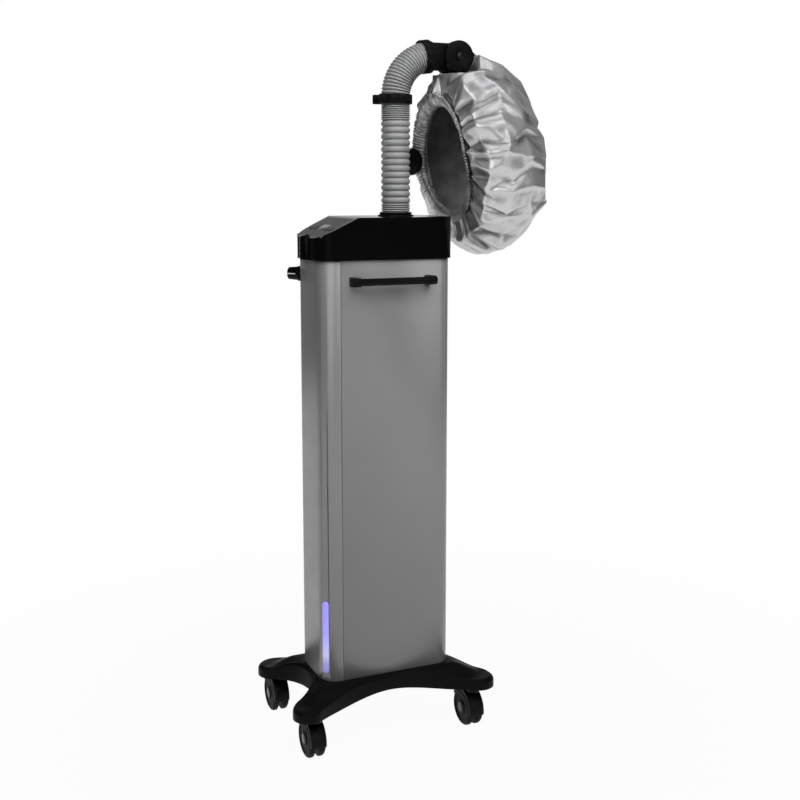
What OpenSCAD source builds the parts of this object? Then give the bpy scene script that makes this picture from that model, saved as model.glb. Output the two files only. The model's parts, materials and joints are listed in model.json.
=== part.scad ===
// Floor-standing hair steamer: a slim column on a four-armed rolling base,
// a sloping control head, and a foil bonnet hung from a ribbed hose.
// Millimetres. +Z up, -Y to the control panel, +X to the side with the light strip.
// The origin is on the floor, under the middle of the whole outline.

/* [Column] */
// Width of the column, side to side
column_w = 150; // [140:1:170]
// Depth of the column, front to back
column_d = 272; // [260:1:300]
// Height of the column between base and head
column_h = 826; // [780:1:900]
// Radius of the front corners
front_r = 36; // [30:1:44]
// Radius of the rear corners
rear_r = 26; // [20:1:34]
// Thickness of the column's moulded walls
wall = 2.5; // [2:0.5:3.5]
// Thickness of the sheet steel inside
sheet = 2; // [1.5:0.5:3]

/* [Base and casters] */
// Height of the base's top face above the floor
foot_z = 132; // [128:1:140]
// Caster stem, distance from the middle, sideways
stem_x = 112; // [106:1:124]
// Caster stem, distance from the middle, front and back
stem_y = 170; // [164:1:184]
// Radius of the arm tips
tip_r = 30; // [26:1:32]
// Caster wheel diameter
wheel_d = 75; // [70:1:75]
// Distance of the wheel axle behind its swivel axis
trail = 20; // [16:1:22]

/* [Control head] */
// Height of the head
head_h = 80; // [76:1:90]
// How far the head stands out over the column
head_lip = 5; // [3:1:8]
// Slope of the control panel in degrees
panel_slope = 26; // [22:1:28]
// Length of the sloping part, measured level
panel_run = 78; // [72:1:84]

/* [Hose] */
// Outer diameter of the hose over its ribs
hose_d = 57; // [50:1:58]
// Inner diameter of the hose
hose_bore = 46; // [40:1:47]
// Distance of the hose behind the middle of the column
hose_y = 48; // [44:1:54]
// Straight rise of the hose above the head
hose_rise = 230; // [220:1:260]
// Radius of the hose's bend
bend_r = 80; // [70:1:100]
// Angle of the hose's bend
bend_angle = 82; // [70:1:88]

/* [Bonnet] */
// Width of the bonnet
bonnet_w = 350; // [320:1:380]
// Height of the bonnet
bonnet_h = 412; // [400:1:430]
// Depth of the bonnet, from which its front and back are shared out
bonnet_depth = 200; // [180:1:240]
// Opening, as a share of the bonnet's width and height
opening_share = 0.56; // [0.5:0.01:0.58]
// Thickness of the padded foil
foil = 5; // [4:0.5:7]

/* [Moving parts] */
// Travel of the control keys
key_travel = 1.2; // [0.8:0.1:1.6]
// Running clearance round pins and shafts
run_gap = 0.05; // [0.02:0.01:0.08]
// Gap between panels and round moving pieces
gap = 0.4; // [0.3:0.1:0.6]

/* [Hidden] */
$fn = 64;

// Heights of the column and head
column_top = foot_z + column_h;
head_top = column_top + head_h;
// Half sizes of the column and of the head over it
half_w = column_w / 2;
half_d = column_d / 2;
head_w = half_w + head_lip;
head_d = half_d + head_lip;
head_wall = 3;

// The joint line between the front shell and the side panels, and the rear panel's edge
seam_y = -half_d + front_r + 3;
rear_half = half_w - rear_r - 4;
seam_gap = 0.6;
inside_w = half_w - wall;

// Base: heights of the arms at their tips and of the arch between them
arm_top_z = 112;
arm_low_z = 88;
arch_z = 100;
nose_len = 14;
nose_drop = 16;
base_steps = 8;
// How far the arm tips reach past the stems, front and back
tip_out = 14;
tip_y = stem_y + tip_out;
waist_x = half_w + 11;
waist_y = half_d + 6;
stem_r = 5;
socket_r = 11;
wheel_z = wheel_d / 2;

// Tank drawer in the foot of the column
tank_w = rear_half - 6;
tank_low = foot_z + 8;
tank_h = 150;
tank_long = 190;
tank_rear = half_d - wall;
cap_room = 20;
drawer_top = tank_low + tank_h + cap_room;
pull_z = tank_low + 2 / 3 * tank_h;
pull_deep = 16;
shelf_z = [drawer_top + 2, foot_z + 0.52 * column_h, foot_z + 0.8 * column_h];

// Boiler and blower
boiler_r = 50;
boiler_h = 120;
boiler_z = shelf_z[1] + sheet;
neck_h = 16;
duct_r = 20;
duct_low = boiler_z + boiler_h + neck_h;
blower_y = -52;
blower_r = 46;
blower_h = 44;
blower_z = shelf_z[2] + 40;
pump_y = hose_y - 30;
pump_h = 42;
spout_h = 12;

// Hose stations: the bend starts at bend_z and ends at the cuff
hose_low = head_top + 8;
bend_z = head_top + hose_rise;
cuff_y = hose_y + bend_r * (1 - cos(bend_angle));
cuff_z = bend_z + bend_r * sin(bend_angle);
elbow_r = 28;
elbow_bend = 60;
elbow_run = 46;
elbow_turn = 90 - bend_angle;
elbow_y = cuff_y + elbow_bend * cos(bend_angle);
elbow_z = cuff_z + elbow_bend * (1 - sin(bend_angle));
pivot_y = elbow_y + elbow_run;
pivot_z = elbow_z;
hub_half = 18;
cheek_r = 30;
cheek_in = hub_half + gap;
cheek_w = 12;
pivot_r = 4;

// Bonnet: the middle of its opening, which hangs a little before the pivot, and where its
// widest part and its back are
rim_ahead = 9.21654;
bonnet_front = pivot_y - rim_ahead;
bonnet_z = pivot_z + 13 - bonnet_h / 2;
widest = 0.24;
back_share = 0.91;
bonnet_sides = 48;
fold_count = 12;
fold_depth = 9;
band_r = 7;

// Moves the whole object so that its outline, front to back, is centred on the origin
module in_frame() {
    translate([0, stand_y, 0]) children();
}

function ease(t) = t * t * (3 - 2 * t);

function arc(c, r, from, to, steps) =
    [for (i = [0:steps]) let (a = from + (to - from) * i / steps) c + r * [cos(a), sin(a)]];

// A rectangle with round corners, drawn from true circles
module rounded(w, d, rf, rr) {
    for (s = [-1, 1]) {
        translate([s * (w - rf), -d + rf]) circle(r = rf);
        translate([s * (w - rr), d - rr]) circle(r = rr);
    }
    translate([-w + rf, -d]) square([2 * (w - rf), d]);
    translate([-w, -d + rf]) square([2 * w, 2 * d - rf - rr]);
    translate([-w + rr, 0]) square([2 * (w - rr), d]);
}

module column_ring() {
    difference() {
        rounded(half_w, half_d, front_r, rear_r);
        rounded(half_w - wall, half_d - wall, front_r - wall, rear_r - wall);
    }
}

// Base casting. Its plan, its side view and its front view are three outlines whose
// common volume is the saddle with four arms.

// Radius of the hollow curve that is tangent to two arm tips and passes the waist
function hollow_r(a, b, waist) =
    ((waist - a) * (waist - a) + b * b - tip_r * tip_r) / (2 * (tip_r + a - waist));

side_r = hollow_r(stem_x, tip_y, waist_x);
front_hollow_r = hollow_r(tip_y, stem_x, waist_y);

module base_plan() {
    difference() {
        union() {
            square([2 * (stem_x + tip_r), 2 * tip_y], center = true);
            square([2 * stem_x, 2 * (tip_y + tip_r)], center = true);
            for (x = [-stem_x, stem_x], y = [-tip_y, tip_y]) {
                translate([x, y]) circle(r = tip_r);
            }
        }
        for (s = [-1, 1]) {
            translate([s * (waist_x + side_r), 0]) circle(r = side_r, $fn = 180);
            translate([0, s * (waist_y + front_hollow_r)]) circle(r = front_hollow_r, $fn = 180);
        }
    }
}

function half_view(flat, reach, low) = concat(
    [for (i = [0:base_steps]) let (t = i / base_steps)
        [flat + (reach - nose_len - flat) * t, foot_z - (foot_z - arm_top_z) * ease(t)]],
    [for (i = [1:base_steps]) let (a = 90 * i / base_steps)
        [reach - nose_len * (1 - sin(a)), arm_top_z - nose_drop * (1 - cos(a))]],
    [[reach, arm_low_z], [reach - 2 * tip_r, arm_low_z]],
    [for (i = [1:base_steps]) let (t = i / base_steps)
        [(reach - 2 * tip_r) * (1 - t), arm_low_z + (low - arm_low_z) * ease(t)]]);

function mirrored(points) = [for (i = [len(points) - 1:-1:0]) [-points[i][0], points[i][1]]];

module view(flat, reach, low) {
    polygon(concat(half_view(flat, reach, low), mirrored(half_view(flat, reach, low))));
}

module base_form() {
    intersection() {
        linear_extrude(height = foot_z) base_plan();
        rotate([90, 0, 90]) linear_extrude(height = 400, center = true)
            view(half_d + 4, tip_y + tip_r, arch_z);
        rotate([90, 0, 0]) linear_extrude(height = 600, center = true)
            view(half_w + 4, stem_x + tip_r, arm_low_z);
    }
}

// The pocket in the underside, which holds the ballast, and its four screws
pocket_w = half_w - 4;
pocket_d = half_d - 16;
pocket_top = foot_z - 8;
screw_x = 48;
screw_y = 92;
ballast_t = 12;
socket_h = 17;

module base_casting() {
    color("#1c1c1e") in_frame() difference() {
        base_form();
        translate([-pocket_w, -pocket_d, 0]) cube([2 * pocket_w, 2 * pocket_d, pocket_top]);
        for (x = [-stem_x, stem_x], y = [-stem_y, stem_y]) {
            translate([x, y, arm_low_z - 1]) cylinder(r = socket_r, h = socket_h + 1);
        }
        for (x = [-screw_x, screw_x], y = [-screw_y, screw_y]) {
            translate([x, y, pocket_top - 1]) cylinder(r = 3.2, h = 20);
        }
    }
}

// Steel sockets pressed into the arms, which the caster stems turn in
module stem_sockets() {
    color("#8a8d90") in_frame() for (x = [-stem_x, stem_x], y = [-stem_y, stem_y]) {
        translate([x, y, arm_low_z]) difference() {
            cylinder(r = socket_r, h = socket_h);
            translate([0, 0, -1]) cylinder(r = stem_r + run_gap, h = socket_h - 1);
        }
    }
}

module ballast_plate() {
    color("#5c5f63") in_frame() translate([0, 0, pocket_top - ballast_t]) difference() {
        translate([-pocket_w + 2, -pocket_d + 2, 0])
            cube([2 * pocket_w - 4, 2 * pocket_d - 4, ballast_t]);
        for (x = [-screw_x, screw_x], y = [-screw_y, screw_y]) {
            translate([x, y, -1]) cylinder(r = 3.2, h = ballast_t + 2);
        }
    }
}

// Screws from below, through the ballast and the base, into the floor plate
module base_screws() {
    color("#9a9da0") in_frame() for (x = [-screw_x, screw_x], y = [-screw_y, screw_y]) {
        translate([x, y, pocket_top - ballast_t - 3]) {
            cylinder(r = 6, h = 3);
            cylinder(r = 3, h = ballast_t + 3 + (foot_z - pocket_top) + 3);
        }
    }
}

// Casters: a yoke with a hood over twin wheels. Each has its side and its end.
caster_at = [[1, -1], [-1, -1], [1, 1], [-1, 1]];
wheel_w = 12;
web_half = 4.5;
wheel_in = web_half + 1;
axle_r = 4;
hood_in = wheel_d / 2 + 2;
hood_out = hood_in + 2.5;
hood_half = wheel_in + wheel_w - 4;
boss_top = arm_low_z - 1;

module place_caster(i) {
    in_frame() translate([caster_at[i][0] * stem_x, caster_at[i][1] * stem_y, 0])
        rotate([0, 0, -90]) children();
}

module yoke() {
    difference() {
        union() {
            translate([0, 0, boss_top - 9]) cylinder(r = 13, h = 9);
            translate([0, 0, boss_top - 1]) cylinder(r = stem_r, h = socket_h - 2);
            translate([0, -trail, wheel_z]) rotate([0, 90, 0]) {
                cylinder(r = 14, h = 2 * web_half, center = true);
                rotate([0, 0, 90]) rotate_extrude(angle = 150) {
                    translate([hood_in, -hood_half]) square([hood_out - hood_in, 2 * hood_half]);
                    translate([6, -web_half]) square([hood_out - 6, 2 * web_half]);
                }
            }
        }
        translate([0, -trail, wheel_z]) rotate([0, 90, 0])
            cylinder(r = axle_r + run_gap, h = 4 * web_half, center = true);
    }
}

module wheel_profile() {
    polygon(concat(
        [[0, 0], [wheel_d / 2 - 3, 0]],
        arc([wheel_d / 2 - 3, 3], 3, -90, 0, 4),
        arc([wheel_d / 2 - 6, wheel_w - 6], 6, 0, 90, 6),
        [[wheel_d / 2 - 10, wheel_w - 3], [11, wheel_w - 3], [9, wheel_w], [0, wheel_w]]));
}

module wheels() {
    translate([0, -trail, wheel_z]) rotate([0, 90, 0]) {
        cylinder(r = axle_r, h = 2 * wheel_in + 2, center = true);
        for (s = [0, 1]) {
            mirror([0, 0, s]) translate([0, 0, wheel_in]) rotate_extrude() wheel_profile();
        }
    }
}

module caster_yoke(i) { color("#202022") place_caster(i) yoke(); }
module caster_wheels(i) { color("#2a2a2c") place_caster(i) wheels(); }

// Column: floor plate, welded chassis, front shell, side panels and rear panel

post = 14;
post_front = seam_y + 10;
post_rear = half_d - rear_r - post;

runner_x = 24;

// Plate with the two runners that the tank slides on
module floor_plate() {
    color("#b4b6b8") in_frame() difference() {
        union() {
            translate([0, 0, foot_z]) linear_extrude(height = 3)
                rounded(inside_w - 0.5, half_d - wall - 6, front_r - wall, rear_r - wall);
            for (s = [-1, 1]) {
                translate([s * runner_x - 4, tank_rear - tank_long, foot_z])
                    cube([8, tank_long - 6, tank_low - foot_z]);
            }
        }
        for (x = [-screw_x, screw_x], y = [-screw_y, screw_y]) {
            translate([x, y, foot_z - 1]) cylinder(r = 3, h = 8);
        }
    }
}

module shelf(z) {
    translate([-inside_w, post_front, z])
        cube([2 * inside_w, post_rear + post - post_front, sheet]);
}

// Four posts and three shelves, with the openings that the duct, tube and blower need
module chassis() {
    color("#a6a9ac") in_frame() difference() {
        union() {
            for (s = [-1, 1], y = [post_front, post_rear]) {
                translate([s * (inside_w - post / 2) - post / 2, y, foot_z + 3])
                    cube([post, post, column_h - 3 - sheet]);
            }
            for (z = shelf_z) shelf(z);
            difference() {
                translate([0, 0, column_top - sheet]) linear_extrude(height = sheet)
                    rounded(inside_w, half_d - wall, front_r - wall, rear_r - wall);
                translate([0, hose_y, column_top - 5]) cylinder(r = duct_r + 1, h = 10);
            }
        }
        for (s = [-1, 1], y = [post_front, post_rear]) {
            translate([s * (inside_w - post / 2) - post / 2 + sheet, y + sheet, foot_z + 2])
                cube([post - 2 * sheet, post - 2 * sheet, column_h - 8]);
        }
        for (z = [shelf_z[0], shelf_z[1]]) {
            translate([0, pump_y, z - 1]) cylinder(r = 6, h = sheet + 2);
        }
        translate([0, hose_y, shelf_z[2] - 1]) cylinder(r = duct_r + 1, h = sheet + 2);
        translate([0, blower_y, shelf_z[2] - 1]) cylinder(r = 14, h = sheet + 2);
    }
}

// The light strip stands upright on the front corner of the +X side
strip_angle = 52;
strip_w = 13;
strip_h = 146;
strip_low = foot_z + 16;
strip_proud = 2.5;

module on_strip() {
    translate([half_w - front_r, -half_d + front_r, strip_low + strip_h / 2])
        rotate([0, 0, -strip_angle]) translate([front_r, 0, 0]) children();
}

module stadium(w, h, t) {
    rotate([0, 90, 0]) linear_extrude(height = t) {
        square([h - w, w], center = true);
        for (s = [-1, 1]) translate([s * (h - w) / 2, 0]) circle(d = w);
    }
}

module front_shell() {
    color("#8d8f92") in_frame() difference() {
        translate([0, 0, foot_z]) linear_extrude(height = column_h) intersection() {
            column_ring();
            translate([-half_w - 1, -half_d - 1])
                square([2 * half_w + 2, half_d + 1 + seam_y - seam_gap / 2]);
        }
        on_strip() translate([-8, 0, 0]) stadium(strip_w, strip_h, 16);
        on_valve() translate([0, 0, -12]) cylinder(r = 5.2, h = 20);
    }
}

module level_lens() {
    color("#a9a0f0") in_frame() on_strip() translate([-wall - 1.5, 0, 0])
        stadium(strip_w - 0.2, strip_h - 0.2, wall + 1.5 + strip_proud);
}

module light_board() {
    color("#2f6b3c") in_frame() on_strip() translate([-wall - 3.1, -8, -strip_h / 2])
        cube([1.6, 16, strip_h]);
}

module side_outline() {
    difference() {
        intersection() {
            column_ring();
            translate([0, seam_y + seam_gap / 2]) square([half_w + 1, half_d * 2]);
        }
        translate([-1, 0]) square([rear_half + seam_gap + 1, half_d + 1]);
    }
}

module side_panel(s) {
    color("#8a8c8f") in_frame() mirror([s, 0, 0])
        translate([0, 0, foot_z]) linear_extrude(height = column_h) side_outline();
}

inlet_z = drawer_top + 60;
switch_z = inlet_z + 48;
louvre_count = 10;
louvre_pitch = 8;
louvre_z = column_top - 16 - louvre_pitch * louvre_count;
panel_screw_x = rear_half - 7;
panel_screw_z = [drawer_top + 14, column_top - 14];

module rear_panel() {
    color("#77797c") in_frame() difference() {
        translate([-rear_half, half_d - wall, drawer_top + 1])
            cube([2 * rear_half, wall, column_top - drawer_top - 1]);
        translate([-13.7, half_d - 9, inlet_z - 10]) cube([27.4, 18, 20]);
        translate([-14, half_d - 9, switch_z - 11]) cube([28, 18, 22]);
        for (i = [0:louvre_count - 1]) {
            translate([-26, half_d - 9, louvre_z + i * louvre_pitch]) cube([52, 18, 3.5]);
        }
        for (s = [-1, 1], z = panel_screw_z) {
            translate([s * panel_screw_x, half_d - 9, z]) rotate([-90, 0, 0]) cylinder(r = 2, h = 18);
        }
    }
}

module panel_screws() {
    color("#2b2b2d") in_frame() for (s = [-1, 1], z = panel_screw_z) {
        translate([s * panel_screw_x, half_d - 10, z]) rotate([-90, 0, 0]) {
            cylinder(r = 2, h = 10);
            translate([0, 0, 10]) cylinder(r = 3.6, h = 1.8);
        }
    }
}

// Side handles: a round bar held off the panel by two blocks
bar_r = 7;
bar_half = 78;
bar_x = half_w + 22;
bar_y = 5;
bar_z = column_top - 40;

module handle(s) {
    color("#18181a") in_frame() mirror([s, 0, 0]) translate([0, bar_y, bar_z]) {
        translate([bar_x, 0, 0]) rotate([90, 0, 0]) cylinder(r = bar_r, h = 2 * bar_half, center = true);
        for (e = [-1, 1]) {
            translate([bar_x, e * bar_half, 0]) rotate([90, 0, 0])
                cylinder(r = bar_r + 1.5, h = 14, center = true);
            translate([half_w, e * bar_half - 7, -bar_r - 1.5])
                cube([bar_x - half_w, 14, 2 * bar_r + 3]);
        }
    }
}

// Power inlet and main switch in the rear panel
module power_inlet() {
    color("#151516") in_frame() translate([0, half_d, inlet_z]) difference() {
        union() {
            translate([-17, 0, -13]) cube([34, 3, 26]);
            translate([-13.7, -22, -10]) cube([27.4, 23, 20]);
        }
        translate([-11, -16, -7.5]) cube([22, 24, 15]);
    }
}

module switch_frame() {
    color("#151516") in_frame() translate([0, half_d, switch_z]) difference() {
        union() {
            translate([-17, 0, -14]) cube([34, 2.5, 28]);
            translate([-14, -20, -11]) cube([28, 21, 22]);
        }
        translate([-11, -14, -8.5]) cube([22, 20, 17]);
        translate([0, rocker_y, 0]) rotate([0, 90, 0])
            cylinder(r = rocker_pin + run_gap, h = 26, center = true);
    }
}

rocker_r = 9;
rocker_pin = 1.5;
rocker_y = -4;

module rocker_switch() {
    color("#3a1512") in_frame() translate([0, half_d + rocker_y, switch_z]) rotate([0, 90, 0]) {
        linear_extrude(height = 20, center = true) intersection() {
            circle(r = rocker_r);
            translate([-7.2, -5]) square([14.4, 12]);
        }
        cylinder(r = rocker_pin, h = 25, center = true);
    }
}

// Water tank: a drawer that slides out at the rear
neck_r = 17;
neck_y = 60;

module water_tank() {
    color("#c9d6dc") in_frame() difference() {
        union() {
            translate([-tank_w, tank_rear - tank_long, tank_low]) cube([2 * tank_w, tank_long, tank_h]);
            translate([0, neck_y, tank_low + tank_h]) cylinder(r = neck_r, h = 9);
        }
        translate([-tank_w + wall, tank_rear - tank_long + wall, tank_low + wall])
            cube([2 * (tank_w - wall), tank_long - 2 * wall, tank_h - 2 * wall]);
        translate([0, neck_y, tank_low + tank_h - 6]) cylinder(r = neck_r - wall, h = 20);
        translate([-30, tank_rear - pull_deep, pull_z - 14]) cube([60, pull_deep + 1, 28]);
    }
}

module tank_cap() {
    color("#2f5f9e") in_frame() translate([0, neck_y, tank_low + tank_h]) difference() {
        union() {
            cylinder(r = neck_r + 3, h = 13);
            translate([-neck_r, -3, 13]) cube([2 * neck_r, 6, 4]);
        }
        translate([0, 0, -1]) cylinder(r = neck_r + run_gap, h = 10.1);
    }
}

// The drawer's front, with a finger recess
module tank_front() {
    color("#77797c") in_frame() difference() {
        union() {
            translate([-rear_half, half_d - wall, foot_z + 1]) cube([2 * rear_half, wall, drawer_top - foot_z - 1]);
            translate([-30, half_d - wall - pull_deep, pull_z - 14]) cube([60, pull_deep, 28]);
        }
        translate([-28, half_d - wall - pull_deep + 2, pull_z - 12]) cube([56, pull_deep + 9, 24]);
    }
}

// Inner works: pump, feed tube, boiler, duct and blower
module pump() {
    color("#3c3f44") in_frame() translate([0, pump_y, shelf_z[0] + sheet]) {
        cylinder(r = 24, h = pump_h);
        translate([0, 0, pump_h]) cylinder(r = 8, h = spout_h);
    }
}

module feed_tube() {
    color("#dfe4e6") in_frame() translate([0, pump_y, shelf_z[0] + sheet + pump_h + spout_h]) difference() {
        cylinder(r = 5, h = shelf_z[1] - shelf_z[0] - pump_h - spout_h);
        translate([0, 0, -1]) cylinder(r = 3, h = shelf_z[1] - shelf_z[0]);
    }
}

module boiler_body() {
    color("#c3c6c9") in_frame() translate([0, hose_y, boiler_z]) rotate_extrude() polygon(concat(
        [[0, 0]], arc([boiler_r - 10, 10], 10, -90, 0, 6),
        [[boiler_r, boiler_h - 4], [boiler_r + 6, boiler_h - 4], [boiler_r + 6, boiler_h],
        [boiler_r - 2, boiler_h], [boiler_r - 2, 12]],
        arc([boiler_r - 10, 10], 8, 0, -90, 6), [[0, 2]]));
}

module boiler_lid() {
    color("#b9bcbf") in_frame() translate([0, hose_y, boiler_z + boiler_h]) difference() {
        union() {
            cylinder(r = boiler_r + 6, h = 4);
            cylinder(r = duct_r, h = neck_h);
        }
        translate([0, 0, -1]) cylinder(r = duct_r - 2, h = 20);
    }
}

module heating_element() {
    color("#6d5a4a") in_frame() translate([0, hose_y, boiler_z]) {
        translate([0, 0, 22]) rotate_extrude() translate([32, 0]) circle(r = 5);
        for (s = [-1, 1]) translate([s * 32, 0, 2]) cylinder(r = 4, h = 18);
    }
}

module steam_duct() {
    color("#d8d8d6") in_frame() difference() {
        union() {
            translate([0, hose_y, duct_low]) cylinder(r = duct_r, h = column_top + 4 - duct_low);
            translate([-10, blower_y + blower_r - 2, blower_z + 12])
                cube([20, hose_y - blower_y - blower_r, 20]);
        }
        translate([0, hose_y, duct_low - 1]) cylinder(r = duct_r - 2, h = column_h);
        translate([-8, blower_y + blower_r - 4, blower_z + 14])
            cube([16, hose_y - blower_y - blower_r, 16]);
    }
}

module blower_housing() {
    color("#2c2e31") in_frame() translate([0, blower_y, blower_z]) difference() {
        cylinder(r = blower_r - 2, h = blower_h);
        translate([0, 0, 3]) cylinder(r = blower_r - 5, h = blower_h - 6);
        translate([0, 0, -1]) cylinder(r = 12, h = 8);
        translate([0, 0, blower_h - 6]) cylinder(r = 20, h = 8);
        translate([-8, blower_r - 14, 14]) cube([16, 20, 16]);
    }
}

module blower_motor() {
    color("#55585c") in_frame() translate([0, blower_y, shelf_z[2] + sheet]) difference() {
        union() {
            cylinder(r = 22, h = blower_z - shelf_z[2] - sheet);
            cylinder(r = 11, h = blower_z - shelf_z[2] - sheet + 3);
        }
        translate([0, 0, 6]) cylinder(r = 3 + run_gap, h = 80);
    }
}

blade_count = 16;

module impeller() {
    color("#e2e2de") in_frame() translate([0, blower_y, blower_z]) {
        translate([0, 0, -22]) cylinder(r = 3, h = 40);
        translate([0, 0, 6]) cylinder(r = 36, h = 2);
        translate([0, 0, 6]) cylinder(r = 10, h = 18);
        for (i = [0:blade_count - 1]) {
            rotate([0, 0, i * 360 / blade_count]) translate([35, -4, 7]) rotate([0, 0, 35])
                translate([-8, -0.8, 0]) cube([9, 1.6, 28]);
        }
    }
}
power_y = -60;
power_d = 96;
power_h = 120;

module power_board() {
    color("#2f6b3c") in_frame() {
        translate([-inside_w + post + 1.6, power_y, shelf_z[0] + sheet]) cube([1.6, power_d, power_h]);
        translate([-inside_w + post + 3.2, -48, shelf_z[0] + sheet]) cube([32, 46, 40]);
    }
}

// Control head: a shell with a sloping front, closed at the top, open below

panel_drop = panel_run * tan(panel_slope);
panel_long = panel_run / cos(panel_slope);
panel_w = head_w - 12;
panel_edge = 7;
panel_t = 2.4;
nose_r = 16;

// Puts a piece on the slope, with Y up the slope and Z out of it
module on_slope() {
    translate([0, -head_d + panel_run / 2, head_top - panel_drop / 2])
        rotate([panel_slope, 0, 0]) children();
}

module slope_cut(grow) {
    on_slope() translate([-head_w - 5, -panel_long, -grow])
        cube([2 * head_w + 10, 1.5 * panel_long, 90]);
}

module head_nose() {
    translate([0, -head_d + 6, column_top]) rotate_extrude() polygon(concat(
        [[0, 0], [nose_r, 0]],
        arc([nose_r - 6, head_h - panel_drop - 2], 6, 0, 90, 6),
        [[0, head_h - panel_drop + 7]]));
}

module head_shell() {
    color("#0e0e10") in_frame() difference() {
        union() {
            difference() {
                translate([0, 0, column_top]) linear_extrude(height = head_h)
                    rounded(head_w, head_d, front_r + head_lip, rear_r + head_lip);
                slope_cut(0);
            }
            head_nose();
        }
        difference() {
            translate([0, 0, column_top - 1]) linear_extrude(height = head_h + 1 - head_wall)
                rounded(head_w - head_wall, head_d - head_wall,
                    front_r + head_lip - head_wall, rear_r + head_lip - head_wall);
            slope_cut(head_wall);
        }
        on_slope() translate([-panel_w, -panel_long / 2 + panel_edge, -panel_t])
            cube([2 * panel_w, panel_long - 2 * panel_edge, 20]);
        on_slope() translate([-panel_w + 8, -22, -10]) cube([2 * panel_w - 16, 44, 20]);
        translate([0, hose_y, head_top - 10]) cylinder(r = flange_r, h = 20);
    }
}

key_x = [-51, -32, 32, 51];
key_sink = 0.4;
board_t = 1.6;
key_r = 6.5;
key_y = -6;
window_w = 40;
window_h = 20;

module control_panel() {
    color("#3c3d40") in_frame() on_slope() difference() {
        translate([-panel_w + 0.3, -panel_long / 2 + panel_edge + 0.3, -panel_t])
            cube([2 * panel_w - 0.6, panel_long - 2 * panel_edge - 0.6, panel_t]);
        for (x = key_x) translate([x, key_y, -5]) cylinder(r = key_r + gap, h = 10);
        translate([-window_w / 2, -window_h / 2, -5]) cube([window_w, window_h, 10]);
    }
}

module display_window() {
    color("#101418") in_frame() on_slope()
        translate([-window_w / 2 + 0.1, -window_h / 2 + 0.1, -panel_t - 2])
            cube([window_w - 0.2, window_h - 0.2, panel_t + 1.8]);
}

module control_board() {
    color("#2f6b3c") in_frame() on_slope()
        translate([-56, -20, -panel_t - key_travel - 0.8 - board_t]) cube([112, 40, board_t]);
}

module key(i) {
    color("#1d1e20") in_frame() on_slope() translate([key_x[i], key_y, key_sink - panel_t])
        cylinder(r = key_r, h = panel_t + key_travel);
}

// Steam flow valve on the far front corner, with its knob outside
valve_z = column_top - 32;
knob_r = 15;
knob_len = 26;

module on_valve() {
    translate([-half_w + front_r, -half_d + front_r, valve_z]) rotate([0, 0, 180 + 45])
        translate([front_r, 0, 0]) rotate([0, 90, 0]) children();
}

module flow_valve() {
    color("#b59a58") in_frame() on_valve() {
        translate([0, 0, -wall - 24.5]) cylinder(r = 11, h = 22);
        translate([0, 0, -wall - 3]) cylinder(r = 5, h = wall + 7);
    }
}

module flow_knob() {
    color("#121214") in_frame() on_valve() translate([0, 0, 1]) difference() {
        union() {
            cylinder(r = knob_r, h = 5);
            cylinder(r1 = knob_r - 1, r2 = knob_r - 3, h = knob_len, $fn = 64);
        }
        translate([0, 0, -1]) cylinder(r = 5 + run_gap, h = 4.5);
        translate([0, knob_r - 2.6, knob_len - 1.5]) cube([1.6, 2 * knob_r, 8], center = true);
    }
}

// Hose: socket in the head, turning root, ribbed hose, clip and cuff
flange_r = hose_d / 2 + 6.5;
flange_h = 3;
root_r = 24;

module hose_socket() {
    color("#111113") in_frame() translate([0, hose_y, 0]) difference() {
        union() {
            translate([0, 0, column_top]) cylinder(r = flange_r - 5, h = 8);
            translate([0, 0, column_top]) cylinder(r = root_r + 4, h = head_h);
            translate([0, 0, head_top - head_wall]) cylinder(r = flange_r, h = head_wall + flange_h);
        }
        translate([0, 0, column_top - 1]) cylinder(r = duct_r + 0.1, h = 20);
        translate([0, 0, column_top + 10]) cylinder(r = root_r + run_gap, h = head_h);
    }
}

module hose_root() {
    color("#141416") in_frame() translate([0, hose_y, 0]) difference() {
        union() {
            translate([0, 0, head_top - 50]) cylinder(r = root_r, h = 58);
            translate([0, 0, head_top + flange_h + gap]) cylinder(r = hose_d / 2 + 3, h = 8 - flange_h - gap);
        }
        translate([0, 0, head_top - 51]) cylinder(r = root_r - 4, h = 70);
    }
}

// Rib stations along the hose: close at the foot, wide in the middle, close in the bend
rib_runs = [[4, 4], [12.6, 13], [4.2, 12], [5.6, 20]];
hose_sides = 16;
groove = 2.4;
run_len = [for (r = rib_runs) r[0] * r[1]];
function run_start(k) = k == 0 ? 0 : run_start(k - 1) + run_len[k - 1];
hose_arc = bend_r * bend_angle * PI / 180;
hose_len = bend_z - hose_low + hose_arc;
rib_scale = (hose_len - 2) / run_start(len(rib_runs));
rib_at = [for (k = [0:len(rib_runs) - 1]) for (i = [0:rib_runs[k][1] - 1])
    1 + rib_scale * (run_start(k) + rib_runs[k][0] * i)];

function hose_turn(s) = max(0, (s - (bend_z - hose_low)) / bend_r * 180 / PI);
function hose_centre(s) = let (a = hose_turn(s)) a == 0
    ? [0, hose_y, hose_low + s]
    : [0, hose_y + bend_r * (1 - cos(a)), bend_z + bend_r * sin(a)];
function hose_ring(s, r) = let (a = hose_turn(s), c = hose_centre(s))
    [for (i = [0:hose_sides - 1]) let (t = 360 * i / hose_sides)
        c + r * [cos(t), sin(t) * cos(a), -sin(t) * sin(a)]];

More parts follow.
